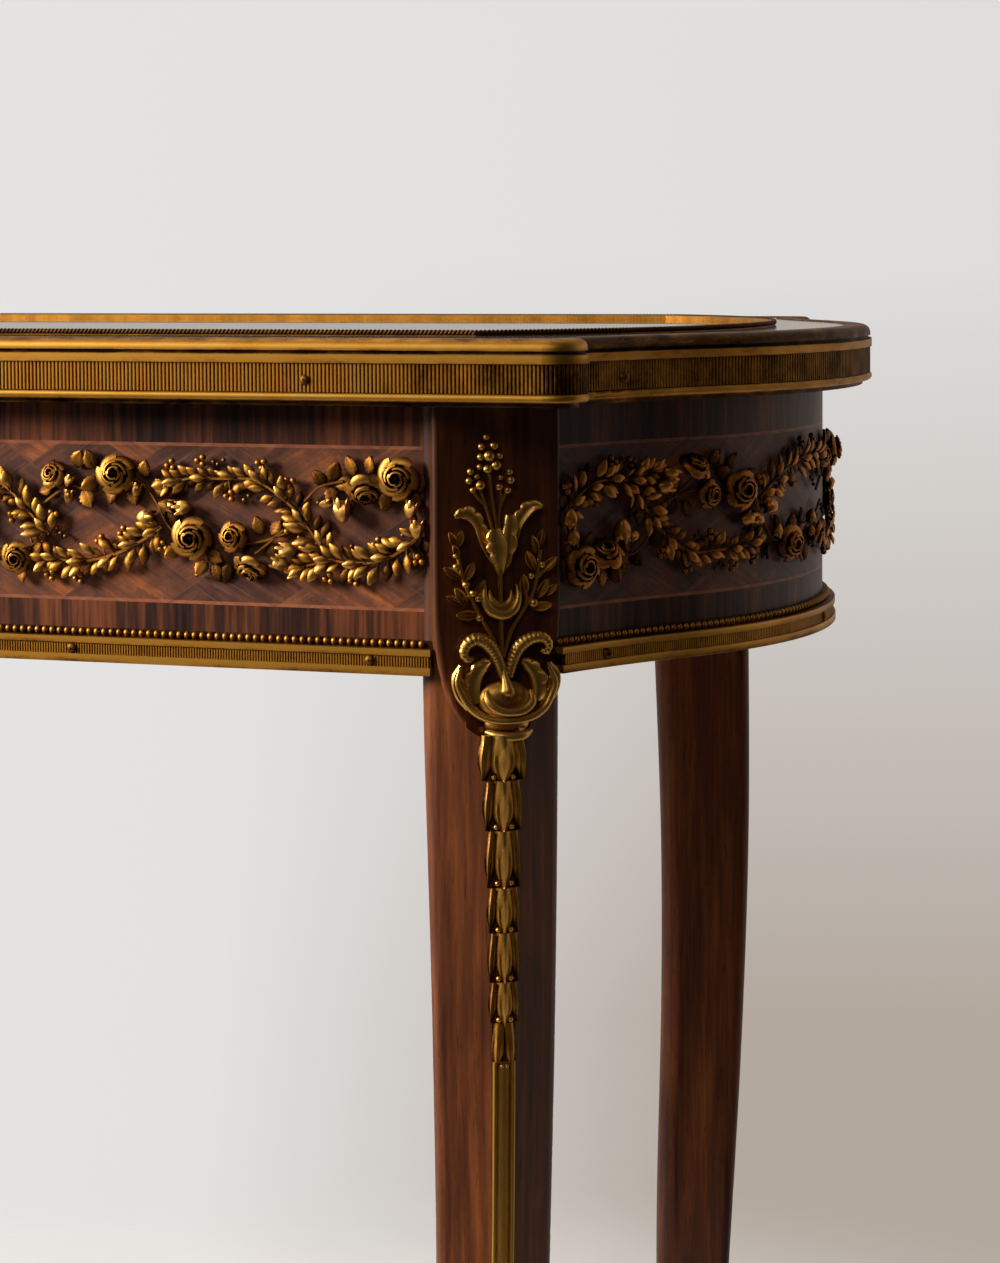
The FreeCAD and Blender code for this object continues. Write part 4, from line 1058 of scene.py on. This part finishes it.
def plain_metal(name, colour, dark):
    mat, tree, skin = material(name)
    cloud = noise(tree, object_place(tree), 120.0, 5.0)
    link(tree, ramp(tree, cloud, [(0.35, dark), (0.65, colour)]), skin["Base Color"])
    link(tree, sums(tree, "MULTIPLY_ADD", cloud, -0.35, 0.5), skin["Roughness"])
    settle_skin(skin, Metallic=1.0)
    return mat


def crimson_velvet():
    mat, tree, skin = material("crimson velvet")
    place = object_place(tree)
    pile = noise(tree, place, 1600.0, 3.0)
    crush = noise(tree, place, 26.0, 4.0, distortion=0.8)
    tone = weighted(tree, (pile, 0.35), (crush, 0.65))
    red = ramp(tree, tone, [(0.34, (0.060, 0.004, 0.008)), (0.66, (0.17, 0.012, 0.022))])
    link(tree, red, skin["Base Color"])
    link(tree, bump(tree, pile, 0.35, 0.0006), skin["Normal"])
    settle_skin(skin, Roughness=0.95, Sheen_Weight=0.45, Sheen_Roughness=0.35,
                Sheen_Tint=(0.75, 0.25, 0.27, 1.0))
    return mat


def clear_glass():
    mat, tree, skin = material("clear glass")
    dust = noise(tree, object_place(tree), 18.0, 6.0)
    link(tree, ramp(tree, dust, [(0.4, (0.015,) * 3), (0.75, (0.035,) * 3)]), skin["Roughness"])
    settle_skin(skin, Base_Color=(0.97, 0.985, 0.975, 1.0), Transmission_Weight=1.0, IOR=1.5)
    return mat


UPRIGHT, LENGTHWAYS, CROSSWAYS = (0, 0, 0), (0, math.radians(90), 0), (math.radians(90), 0, 0)
LEG_STOPS = [(0.40, (0.040, 0.010, 0.003)), (0.53, (0.110, 0.028, 0.007)), (0.66, (0.22, 0.064, 0.015))]
LID_STOPS = [(0.34, (0.022, 0.008, 0.005)), (0.52, (0.060, 0.020, 0.011)), (0.72, (0.12, 0.042, 0.02))]
OAK_STOPS = [(0.35, (0.15, 0.08, 0.035)), (0.7, (0.32, 0.19, 0.09))]
# Brightness of the mouldings' bands at shares of their height; the dark bands are patina and painted shade in
# the grooves
EDGE_BANDS = [
    (0.03, 0.16), (0.07, 0.34), (0.12, 0.74), (0.17, 0.66), (0.195, 0.40), (0.21, 0.10), (0.63, 0.10),
    (0.645, 0.44), (0.70, 0.58), (0.745, 0.80), (0.765, 0.50), (0.78, 0.05), (0.815, 0.05), (0.835, 0.42),
    (0.88, 0.80), (0.94, 0.50), (1.0, 0.34),
]
# Painted shade: darker band levels for the edge moulding on the sides and back of the lid
EDGE_SHADED_BANDS = [
    (0.04, 0.22), (0.09, 0.50), (0.19, 0.50), (0.21, 0.05), (0.63, 0.05), (0.65, 0.54), (0.76, 0.54),
    (0.78, 0.02), (0.815, 0.02), (0.84, 0.20), (1.0, 0.22),
]
LOWER_LEVELS = [
    (0.0, 0.30), (0.10, 0.46), (0.20, 0.76), (0.235, 0.60), (0.25, 0.08), (0.55, 0.08), (0.57, 0.42),
    (0.66, 0.56), (0.735, 0.80), (0.755, 0.50), (0.78, 0.10),
]

MAHOGANY = polished_wood("polished mahogany", UPRIGHT, LEG_STOPS, 0.15, 0.16, FRIEZE_BOTTOM * MM)
LID_LONG = polished_wood("lid veneer lengthways", LENGTHWAYS, LID_STOPS, 1.0, 0.08)
LID_ACROSS = polished_wood("lid veneer crossways", CROSSWAYS, LID_STOPS, 1.0, 0.08)
FRIEZE_FLAT = frieze_veneer("frieze veneer flat", False)
FRIEZE_BOWED = frieze_veneer("frieze veneer bowed", True)
GILT_CAST = gilt_cast("gilt cast bronze", 1.0, 1.0, (1.0, 1.0, 1.0))
GILT_GARLAND = gilt_cast("gilt cast garland", 0.86, 1.4, (1.0, 0.97, 1.05))
# Painted shade: a darker copy of the garland's gilding for the bowed ends, with a more coppery tint
GILT_END_GARLAND_SHADED = gilt_cast("gilt cast end garland shaded", 0.70, 1.8, (1.0, 0.86, 0.95))
GILT_BEZEL = gilt_plain("gilt bezel", 0.42, 0.5)
GILT_PLAIN = gilt_plain("gilt bronze", 0.50, 0.85)
GILT_EDGE = gilt_banded("gilt edge moulding", EDGE_FOOT, EDGE_TALL, EDGE_BANDS, (0.8, 0.8, 2.6))
# Painted shade: darker copy of the edge moulding for the sides and back
GILT_EDGE_SHADED = gilt_banded("gilt edge moulding shaded", EDGE_FOOT, EDGE_TALL, EDGE_SHADED_BANDS,
                             (0.8, 0.8, 2.6))
GILT_REED = gilt_plain("gilt reeds", 0.54, 0.9, (1, 1, 0.6))
# Painted shade: the lid reeds dimmed towards the ears
GILT_LID_REED = gilt_plain("gilt lid reeds", 0.58, 1.0, (1, 1, 0.5), 0.5)
# Painted shade: a darker copy of the lid reeds for the bowed ends
GILT_REED_SHADED = gilt_plain("gilt reeds shaded", 0.36, 0.7, (1, 1, 0.6))
GILT_ROPE = gilt_plain("gilt rope", 0.17, 0.3)
GILT_MOULD = gilt_banded("gilt lower moulding", LOWER_FOOT, LOWER_TALL, LOWER_LEVELS, (0.4, 0.4, 1.4))
GILT_BEAD = gilt_plain("gilt beads", 0.46, 0.5)
GILT_STRIP = gilt_plain("gilt strip", 0.86, 1.2, (1.6, 1.6, 0.3))
BRASS = plain_metal("brass", (0.62, 0.42, 0.16), (0.30, 0.19, 0.07))
STEEL = plain_metal("steel", (0.42, 0.41, 0.39), (0.20, 0.19, 0.18))
SCREW = gilt_plain("screw heads", 0.32, 0.4)
OAK = polished_wood("oak", LENGTHWAYS, OAK_STOPS, 0.1, 0.5)
VELVET = crimson_velvet()
GLASS = clear_glass()

# A node takes the finish of the longest start that its name has
NODE_FINISHES = {
    "leg_": MAHOGANY, "bottom_board": OAK, "velvet": VELVET, "glass": GLASS, "glass_bezel": GILT_BEZEL,
    "front_rail": FRIEZE_FLAT, "back_rail": FRIEZE_FLAT,
    "left_rail": FRIEZE_BOWED, "right_rail": FRIEZE_BOWED,
    "lid_front": LID_LONG, "lid_back": LID_LONG, "lid_left": LID_ACROSS, "lid_right": LID_ACROSS,
    "lid_edge": GILT_EDGE_SHADED, "lid_edge_front": GILT_EDGE, "lower_moulding": GILT_MOULD,
    "lower_moulding_screws": SCREW, "lid_edge_screws": SCREW,
    "hinge": BRASS, "lock_case": BRASS, "lock_strike": BRASS, "lock_bolt": STEEL, "key": STEEL,
    "escutcheon": GILT_PLAIN, "garland": GILT_PLAIN, "chute": GILT_PLAIN, "husks": GILT_PLAIN,
    "strip": GILT_STRIP, "sabot": GILT_PLAIN,
}


def finish_for(node):
    matches = [start for start in NODE_FINISHES if node.startswith(start)]
    return NODE_FINISHES[max(matches, key=len)]


for node_name, node_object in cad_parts.items():
    for slot_place in node_object.material_slots:
        slot_place.material = finish_for(node_name)


# Garlands on the four sides

for spread, crossed, place, ends, gilt in (
        (along_front, False, garland_on_front, ("front", "back"), GILT_GARLAND),
        (along_side, True, garland_on_right, ("right", "left"), GILT_END_GARLAND_SHADED)):
    whole = pattern(garland, pattern(half_garland, spread), crossed)
    for end, about in zip(ends, (IDENTITY, HALF_TURN)):
        cast_mesh = turned(wrapped(whole, place, GARLAND_DEPTH), about)
        piece("garland_cast_" + end, cast_mesh, "carcass", "gilt_bronze", gilt, ("garland_" + end,))


# Leg mounts: name, shape, how it lies on the leg, depth of relief, slot, finish and the node it replaces

LEG_MOUNTS = [
    ("chute_cast_", pattern(chute), on_tablet, CHUTE_DEPTH, "gilt_bronze", GILT_CAST, "chute_"),
    ("husks_cast_", pattern(husk_chain), on_arris, HUSK_DEPTH, "gilt_bronze", GILT_CAST, "husks_"),
    ("strip_reeded_", pattern(leg_strip), on_arris, STRIP_DEPTH, "gilt_brass", GILT_STRIP, "strip_"),
    ("sabot_leaf_", pattern(sabot_leaf), on_arris, SABOT_DEPTH, "gilt_bronze", GILT_CAST, None),
]
for corner, (side, face) in CORNERS.items():
    about = Matrix.Diagonal((side, face, 1, 1))
    for name, shape, place, depth, slot, finish, node in LEG_MOUNTS:
        mount = turned(wrapped(shape, place, depth), about)
        piece(name + corner, mount, "carcass", slot, finish, (node + corner,) if node else ())


# Mouldings with their reeds and beads

def front_row(half, out, pitch, z):
    count = int(half / pitch)
    return [((i * pitch, -FRONT - out), -math.pi / 2, z) for i in range(-count, count + 1)]


def bow_row(half, out, pitch, z):
    count = int(half / pitch)
    places = []
    for i in range(-count, count + 1):
        here, ahead = bow_place(i * pitch, out), bow_place(i * pitch + 0.5, out)
        places.append((tuple(here), math.atan2(ahead.y - here.y, ahead.x - here.x) - math.pi / 2, z))
    return places


def ear_row(out, pitch, z):
    """Round ear of the lid at both ends of the front edge, back to the notch."""
    radius = EAR_RADIUS - LID_OVER + out
    places = []
    count = int(radius * EAR_SWEEP / pitch)
    for i in range(1, count + 1):
        angle = -math.pi / 2 + i * pitch / radius
        for side in (1, -1):
            places.append(((side * (EAR_X + radius * math.cos(angle)), -EAR_Y + radius * math.sin(angle)),
                           angle if side > 0 else math.pi - angle, z))
    return places


def reed_row(mesh, places):
    bm = bmesh.new()
    for (x, y), angle, z in places:
        cast(bm, mesh, Matrix.Translation((x, y, z)) @ Matrix.Rotation(angle, 4, "Z"))
    return bm


def bead_row(places):
    bm = bmesh.new()
    for (x, y), angle, z in places:
        cast(bm, BERRY, Matrix.Translation((x, y, z)) @ Matrix.Diagonal(BEAD_SIZE))
    return bm


def lower_moulding(place, half, steps):
    """Lower moulding bent along one side of the frieze and cut square beside the posts."""
    level, soft = LOWER_FOOT, LOWER_ROUND
    profile = [(LOWER_BACK, level)]
    for tall, out in LOWER_BANDS:
        top = level + tall
        profile += [(out - soft, level), (out, level + soft), (out, top - soft), (out - soft, top)]
        level = top
    profile.append((LOWER_BACK, level))
    bm = bmesh.new()
    drawn(bm, [(-half, out, z) for out, z in profile], (2 * half / steps, 0, 0), steps)
    for vert in bm.verts:
        vert.co = place(vert.co.x, vert.co.y).to_3d() + Vector((0, 0, vert.co.z))
    bm.normal_update()
    bmesh.ops.recalc_face_normals(bm, faces=bm.faces)
    return bm


LOW_SIDE = bow_length(LOW_END, LOW_REED_OUT) + LOW_LONG
lid_reed = pattern(reed, LID_REED_WIDE, LID_REED_TALL)
low_reed = pattern(reed, LOW_REED_WIDE, LOW_REED_TALL)
lid_line = (LID_REED_OUT, REED_PITCH, LID_REED_Z)
low_line = (LOW_REED_OUT, LOW_PITCH, LOW_REED_Z)
bead_line = (BEAD_OUT, BEAD_PITCH, BEAD_Z)
for end, straight, about in (("front", True, IDENTITY), ("right", False, IDENTITY),
                             ("back", True, HALF_TURN), ("left", False, HALF_TURN)):
    if straight:
        lid_places = front_row(LID_REED_FRONT, *lid_line) + ear_row(*lid_line)
        bar = lower_moulding(front_place, LOW_FRONT + BAR_PAST_FRONT, 1)
        low_places = front_row(LOW_FRONT, *low_line)
        bead_places = front_row(LOW_FRONT - BEAD_SHORT, *bead_line)
    else:
        lid_places = bow_row(LID_REED_END, *lid_line)
        bar = lower_moulding(bow_place, LOW_SIDE + BAR_PAST_END, BAR_STEPS)
        low_places = bow_row(LOW_SIDE, *low_line)
        bead_places = bow_row(LOW_SIDE, *bead_line)
    lid_reeds = turned(reed_row(lid_reed, lid_places), about)
    bar = turned(bar, about)
    low_reeds = turned(reed_row(low_reed, low_places), about)
    beads = turned(bead_row(bead_places), about)
    piece("lid_reeds_" + end, lid_reeds, "lid", "gilt_brass", GILT_LID_REED if straight else GILT_REED_SHADED)
    piece("lower_moulding_cut_" + end, bar, "carcass", "gilt_brass", GILT_MOULD, ("lower_moulding_" + end,))
    piece("lower_reeds_" + end, low_reeds, "carcass", "gilt_brass", GILT_REED)
    piece("lower_beads_" + end, beads, "carcass", "gilt_brass", GILT_BEAD)


# Rope on the outer edge of the glass bezel

def opening_outline(inset, pitch):
    """Even places round the glass opening: straight sides and two bowed ends."""
    half, radius, centre = OPEN_Y - inset, OPEN_RADIUS - inset, OPEN_CENTRE
    swing = math.asin(half / radius)
    corner = centre + radius * math.cos(swing)
    places = []
    steps = int(2 * corner / pitch)
    for i in range(steps):
        places.append((-corner + i * 2 * corner / steps, -half, 0.0))
    bends = int(2 * swing * radius / pitch)
    for i in range(bends):
        angle = -swing + 2 * swing * i / bends
        places.append((centre + radius * math.cos(angle), radius * math.sin(angle), angle + math.pi / 2))
    return places + [(-x, -y, angle + math.pi) for x, y, angle in places]


def bezel_rope():
    bm = bmesh.new()
    for x, y, angle in opening_outline(-ROPE_OUT, ROPE_PITCH):
        cast(bm, BERRY, Matrix.Translation((x, y, ROPE_Z)) @ Matrix.Rotation(angle, 4, "Z")
             @ Matrix.Rotation(ROPE_LEAN, 4, "Y") @ Matrix.Diagonal(ROPE_SIZE))
    piece("bezel_rope", bm, "lid", "gilt_brass", GILT_ROPE)


bezel_rope()


# Slotted heads of the moulding screws

def screw_head(bm):
    """Low dome with a slot across it."""
    for side in (1, -1):
        half = bmesh.ops.create_uvsphere(bm, u_segments=14, v_segments=8, radius=1.0)["verts"]
        geom = dict.fromkeys(half + [item for vert in half for item in (*vert.link_edges, *vert.link_faces)])
        cut = bmesh.ops.bisect_plane(bm, geom=list(geom), plane_co=(0.16 * side, 0, 0),
                                     plane_no=(side, 0, 0), clear_inner=True)["geom_cut"]
        bmesh.ops.contextual_create(bm, geom=[item for item in cut if isinstance(item, bmesh.types.BMEdge)])
    floor_of_slot = Matrix.Diagonal((0.96, 0.96, 0.45, 1))
    bmesh.ops.create_uvsphere(bm, u_segments=14, v_segments=5, radius=1.0, matrix=floor_of_slot)


def screw_places(node):
    """Outer end and heading of each screw of a node."""
    bm = bmesh.new()
    bm.from_mesh(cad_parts[node].data)
    left = dict.fromkeys(bm.verts)
    while left:
        start, found = next(iter(left)), []
        del left[start]
        grown = [start]
        while grown:
            vert = grown.pop()
            found.append(vert.co / MM)
            for edge in vert.link_edges:
                other = edge.other_vert(vert)
                if other in left:
                    del left[other]
                    grown.append(other)
        middle = sum(found, Vector()) / len(found)
        out = Vector((0, math.copysign(1, middle.y), 0))
        if abs(middle.x) > EAR_X:
            out = Vector((middle.x - math.copysign(BOW_CENTRE, middle.x), middle.y, 0)).normalized()
        yield middle + out * max((corner - middle).dot(out) for corner in found), out
    bm.free()


head = pattern(screw_head)
for node_name, rider in (("lower_moulding_screws", "carcass"), ("lid_edge_screws", "lid")):
    bm = bmesh.new()
    for number, (place, out) in enumerate(screw_places(node_name)):
        cast(bm, head, Matrix.Translation(place) @ out.to_track_quat("Z", "Y").to_matrix().to_4x4()
             @ Matrix.Rotation(number * 0.9 + 0.5, 4, "Z") @ Matrix.Diagonal(SCREW_SIZE))
    piece(node_name.replace("screws", "screw_heads"), bm, rider, "gilt_brass", SCREW)


# Velvet pad and linings

PAD_TAPER_X, PAD_TAPER_Y, PAD_SWELL, PAD_MESH = 0.992, 0.988, 0.003, 0.005
PAD_PRESSURE, PAD_FRAMES = 3.0, 15
LINING_BACK, LINING_EDGE, LINING_CROWN, LINING_GAP = 0.2, 0.5, 2.1, 0.5
LOCK_ROOM = 1.5


def soft_copy(node, name):
    bm = bmesh.new()
    bm.from_mesh(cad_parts[node].data)
    bmesh.ops.remove_doubles(bm, verts=bm.verts, dist=0.00001)
    mesh = bpy.data.meshes.new(name)
    bm.to_mesh(mesh)
    bm.free()
    obj = bpy.data.objects.new(name, mesh)
    bpy.context.scene.collection.objects.link(obj)
    return obj


def settle(obj):
    """Apply the live modifiers to the mesh."""
    done = obj.evaluated_get(bpy.context.evaluated_depsgraph_get())
    mesh = bpy.data.meshes.new_from_object(done)
    obj.modifiers.clear()
    obj.data = mesh


def fill_pad(pad):
    """Blow the pad up as its filling would."""
    cloth = pad.modifiers.new("filling", "CLOTH")
    cloth.settings.use_pressure = True
    cloth.settings.uniform_pressure_force = PAD_PRESSURE
    cloth.settings.effector_weights.gravity = 0.0
    for step in range(1, PAD_FRAMES + 1):
        bpy.context.scene.frame_set(step)
    settle(pad)
    bpy.context.scene.frame_set(1)


def velvet_pad():
    pad = soft_copy("velvet_pad", "velvet_pad_soft")
    low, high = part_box("velvet_pad")
    for vert in pad.data.vertices:
        vert.co.x *= PAD_TAPER_X
        vert.co.y *= PAD_TAPER_Y
        vert.co.z = min(vert.co.z, high[2] - PAD_SWELL)
    remesh = pad.modifiers.new("even mesh", "REMESH")
    remesh.mode = "VOXEL"
    remesh.voxel_size = PAD_MESH
    settle(pad)
    rest = [vert.co.copy() for vert in pad.data.vertices]
    fill_pad(pad)
    for vert, start in zip(pad.data.vertices, rest):
        move = vert.co - start
        if move.length > PAD_SWELL:
            move = move.normalized() * PAD_SWELL
        vert.co = [max(a, min(b, value)) for a, b, value in zip(low, high, start + move)]
    smooth = pad.modifiers.new("smooth", "SMOOTH")
    smooth.factor = 0.5
    smooth.iterations = 4
    settle(pad)
    pad.data.shade_smooth()
    pad.data.materials.clear()
    pad.data.materials.append(VELVET)
    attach(pad, "carcass")
    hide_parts("velvet_pad")


velvet_pad()


def lining_panel(bm, place, start, end, low, high):
    """Padded panel: place takes a run along the wall, a height and a depth into the well."""
    columns, rows = max(6, int((end - start) / 10)), 14
    back = bmesh.ops.create_grid(bm, x_segments=columns, y_segments=rows, size=0.5)["verts"]
    faces = list(dict.fromkeys(face for vert in back for face in vert.link_faces))
    grown = bmesh.ops.extrude_face_region(bm, geom=faces)["geom"]
    front = [item for item in grown if isinstance(item, bmesh.types.BMVert)]
    for sheet, swell in ((back, 0.0), (front, 1.0)):
        for vert in sheet:
            across, up = 2 * vert.co.x, 2 * vert.co.y
            crown = math.sqrt(max(0.0, 1 - across ** 10) * max(0.0, 1 - up ** 6))
            vert.co = place(start + (end - start) * (across + 1) / 2, low + (high - low) * (up + 1) / 2,
                            LINING_BACK + swell * (LINING_EDGE + LINING_CROWN * crown))


def velvet_lining():
    """Panels on the four walls; the front one leaves the lock free."""
    corners = [vert.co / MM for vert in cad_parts["velvet_lining"].data.vertices]
    wall = max(abs(corner.y) for corner in corners)
    half = max(abs(corner.x) for corner in corners if abs(corner.y) > wall - 1) - LINING_GAP
    end_y = max(abs(corner.y) for corner in corners if abs(corner.x) > half + 4)
    end = bow_length(end_y, wall - FRONT - 1.5) - LINING_GAP
    low, high = min(corner.z for corner in corners), max(corner.z for corner in corners)
    lock_low, lock_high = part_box("lock_case")
    lock_half, lock_foot = lock_high[0] / MM + LOCK_ROOM, lock_low[2] / MM - LOCK_ROOM
    under_lock = lock_half - 0.6

    def on_back(run, height, depth):
        return Vector((run, wall - depth, height))

    def on_front_wall(run, height, depth):
        return Vector((run, depth - wall, height))

    def on_right_end(run, height, depth):
        return bow_place(run, wall - FRONT - depth).to_3d() + Vector((0, 0, height))

    def on_left_end(run, height, depth):
        return HALF_TURN @ on_right_end(run, height, depth)

    bm = bmesh.new()
    for place, start, stop, top in ((on_back, -half, half, high), (on_front_wall, -half, -lock_half, high),
                                    (on_front_wall, lock_half, half, high),
                                    (on_front_wall, -under_lock, under_lock, lock_foot),
                                    (on_right_end, -end, end, high), (on_left_end, -end, end, high)):
        lining_panel(bm, place, start, stop, low, top)
    bm.normal_update()
    bmesh.ops.recalc_face_normals(bm, faces=bm.faces)
    panels = piece("velvet_lining_soft", bm, "carcass", "velvet", VELVET, ("velvet_lining",))


velvet_lining()


# Floor, light and camera

def floor():
    """Pale disc that takes the table's shadow and fades out towards its rim."""
    bm = bmesh.new()
    bmesh.ops.create_circle(bm, cap_ends=True, segments=64, radius=1.0)
    mesh = bpy.data.meshes.new("floor")
    bm.to_mesh(mesh)
    bm.free()
    mat, tree, skin = material("pale floor")
    place = object_place(tree)
    away = add(tree, "ShaderNodeVectorMath", {0: place}, operation="LENGTH").outputs["Value"]
    fade = ranged(tree, away, 0.50, 0.95, interpolation_type="SMOOTHSTEP")
    link(tree, sums(tree, "SUBTRACT", 1.0, fade), skin["Alpha"])
    cloud = noise(tree, place, 6.0, 3.0)
    link(tree, ramp(tree, cloud, [(0.3, (0.66, 0.65, 0.63)), (0.7, (0.72, 0.71, 0.69))]), skin["Base Color"])
    settle_skin(skin, Roughness=0.8)
    mesh.materials.append(mat)
    obj = bpy.data.objects.new("floor", mesh)
    bpy.context.scene.collection.objects.link(obj)


def aimed(obj, place, turn):
    bpy.context.scene.collection.objects.link(obj)
    obj.location = place
    obj.rotation_mode = "QUATERNION"
    obj.rotation_quaternion = turn


def lamp(name, place, target, size, power, colour):
    data = bpy.data.lights.new(name, "AREA")
    data.shape = "RECTANGLE"
    data.size, data.size_y = size
    data.energy = power
    data.color = colour
    turn = (Vector(target) - Vector(place)).to_track_quat("-Z", "Y")
    aimed(bpy.data.objects.new(name, data), place, turn)


def studio_world():
    """Pale grey wall to the camera, with painted light falling off to the right and a painted shadow low on
    the right; and a soft bright side on the left in the reflections.
    """
    world = bpy.data.worlds.new("studio")
    bpy.context.scene.world = world
    world.use_nodes = True
    tree = world.node_tree
    tree.nodes.clear()
    way = parts(tree, add(tree, "ShaderNodeTexCoord").outputs["Generated"])
    # Painted light: the wall is brighter on the left and darker to the right
    wall = ramp(tree, sums(tree, "MULTIPLY_ADD", way["X"], 0.5, 0.5),
                [(0.10, (0.82, 0.81, 0.80)), (0.42, (0.74, 0.73, 0.72)), (0.60, (0.66, 0.65, 0.64))])
    # Painted shadow: warm dark low on the right of the wall
    low = clamped(tree, sums(tree, "MULTIPLY", way["Z"], -4.0))
    right = clamped(tree, sums(tree, "MULTIPLY", sums(tree, "ADD", way["X"], 0.40), 6.5))
    wall = blended(tree, sums(tree, "MULTIPLY", low, right), wall, (0.45, 0.39, 0.34))
    aside = sums(tree, "SUBTRACT", sums(tree, "MULTIPLY", way["Y"], 0.8), way["X"])
    room = ramp(tree, sums(tree, "MULTIPLY_ADD", aside, 0.4, 0.5),
                [(0.2, (0.03, 0.028, 0.026)), (0.55, (0.12, 0.115, 0.11)), (0.9, (0.70, 0.69, 0.68))])
    behind = clamped(tree, sums(tree, "MULTIPLY_ADD", way["Y"], 2.4, -0.1))
    room = blended(tree, behind, room, (0.50, 0.46, 0.42))
    seen = add(tree, "ShaderNodeLightPath").outputs
    direct = sums(tree, "MAXIMUM", seen["Is Camera Ray"], seen["Is Transmission Ray"])
    sky = add(tree, "ShaderNodeBackground", {"Color": blended(tree, direct, room, wall), "Strength": 1.0})
    add(tree, "ShaderNodeOutputWorld", {"Surface": sky.outputs[0]})


# The camera's fit to the photograph: lens and shift in its pixels, angles in radians, place in metres
PHOTO_TALL, PHOTO_LENS, PHOTO_SHIFT, SENSOR = 1263.0, 2975.7, -190.0, 36.0
CAMERA_SWING, CAMERA_PITCH, CAMERA_ROLL = 0.3283, 0.0632, -0.0054
CAMERA_PLACE = (0.72156, -1.53535, 0.81439)


def camera():
    data = bpy.data.cameras.new("camera")
    data.lens = PHOTO_LENS / PHOTO_TALL * SENSOR
    data.sensor_width = SENSOR
    data.shift_y = PHOTO_SHIFT / PHOTO_TALL
    data.clip_start, data.clip_end = 0.05, 50
    obj = bpy.data.objects.new("camera", data)
    level = math.cos(CAMERA_PITCH)
    forward = Vector((-math.sin(CAMERA_SWING) * level, math.cos(CAMERA_SWING) * level,
                      -math.sin(CAMERA_PITCH)))
    aimed(obj, CAMERA_PLACE, forward.to_track_quat("-Z", "Y") @ Quaternion((0, 0, 1), CAMERA_ROLL))
    bpy.context.scene.camera = obj


floor()
lamp("window", (-2.6, -1.5, 1.75), (0.0, -0.1, 0.65), (0.9, 1.1), 215.0, (1.0, 0.98, 0.95))
lamp("ceiling", (-0.4, 0.4, 2.8), (0.0, 0.0, 0.7), (1.6, 1.6), 12.0, (1.0, 0.99, 0.97))
lamp("room", (0.2, -3.0, 2.6), (0.1, -0.1, 0.6), (1.4, 1.0), 15.0, (1.0, 0.99, 0.97))
studio_world()
camera()
bpy.context.scene.view_settings.view_transform = "Standard"
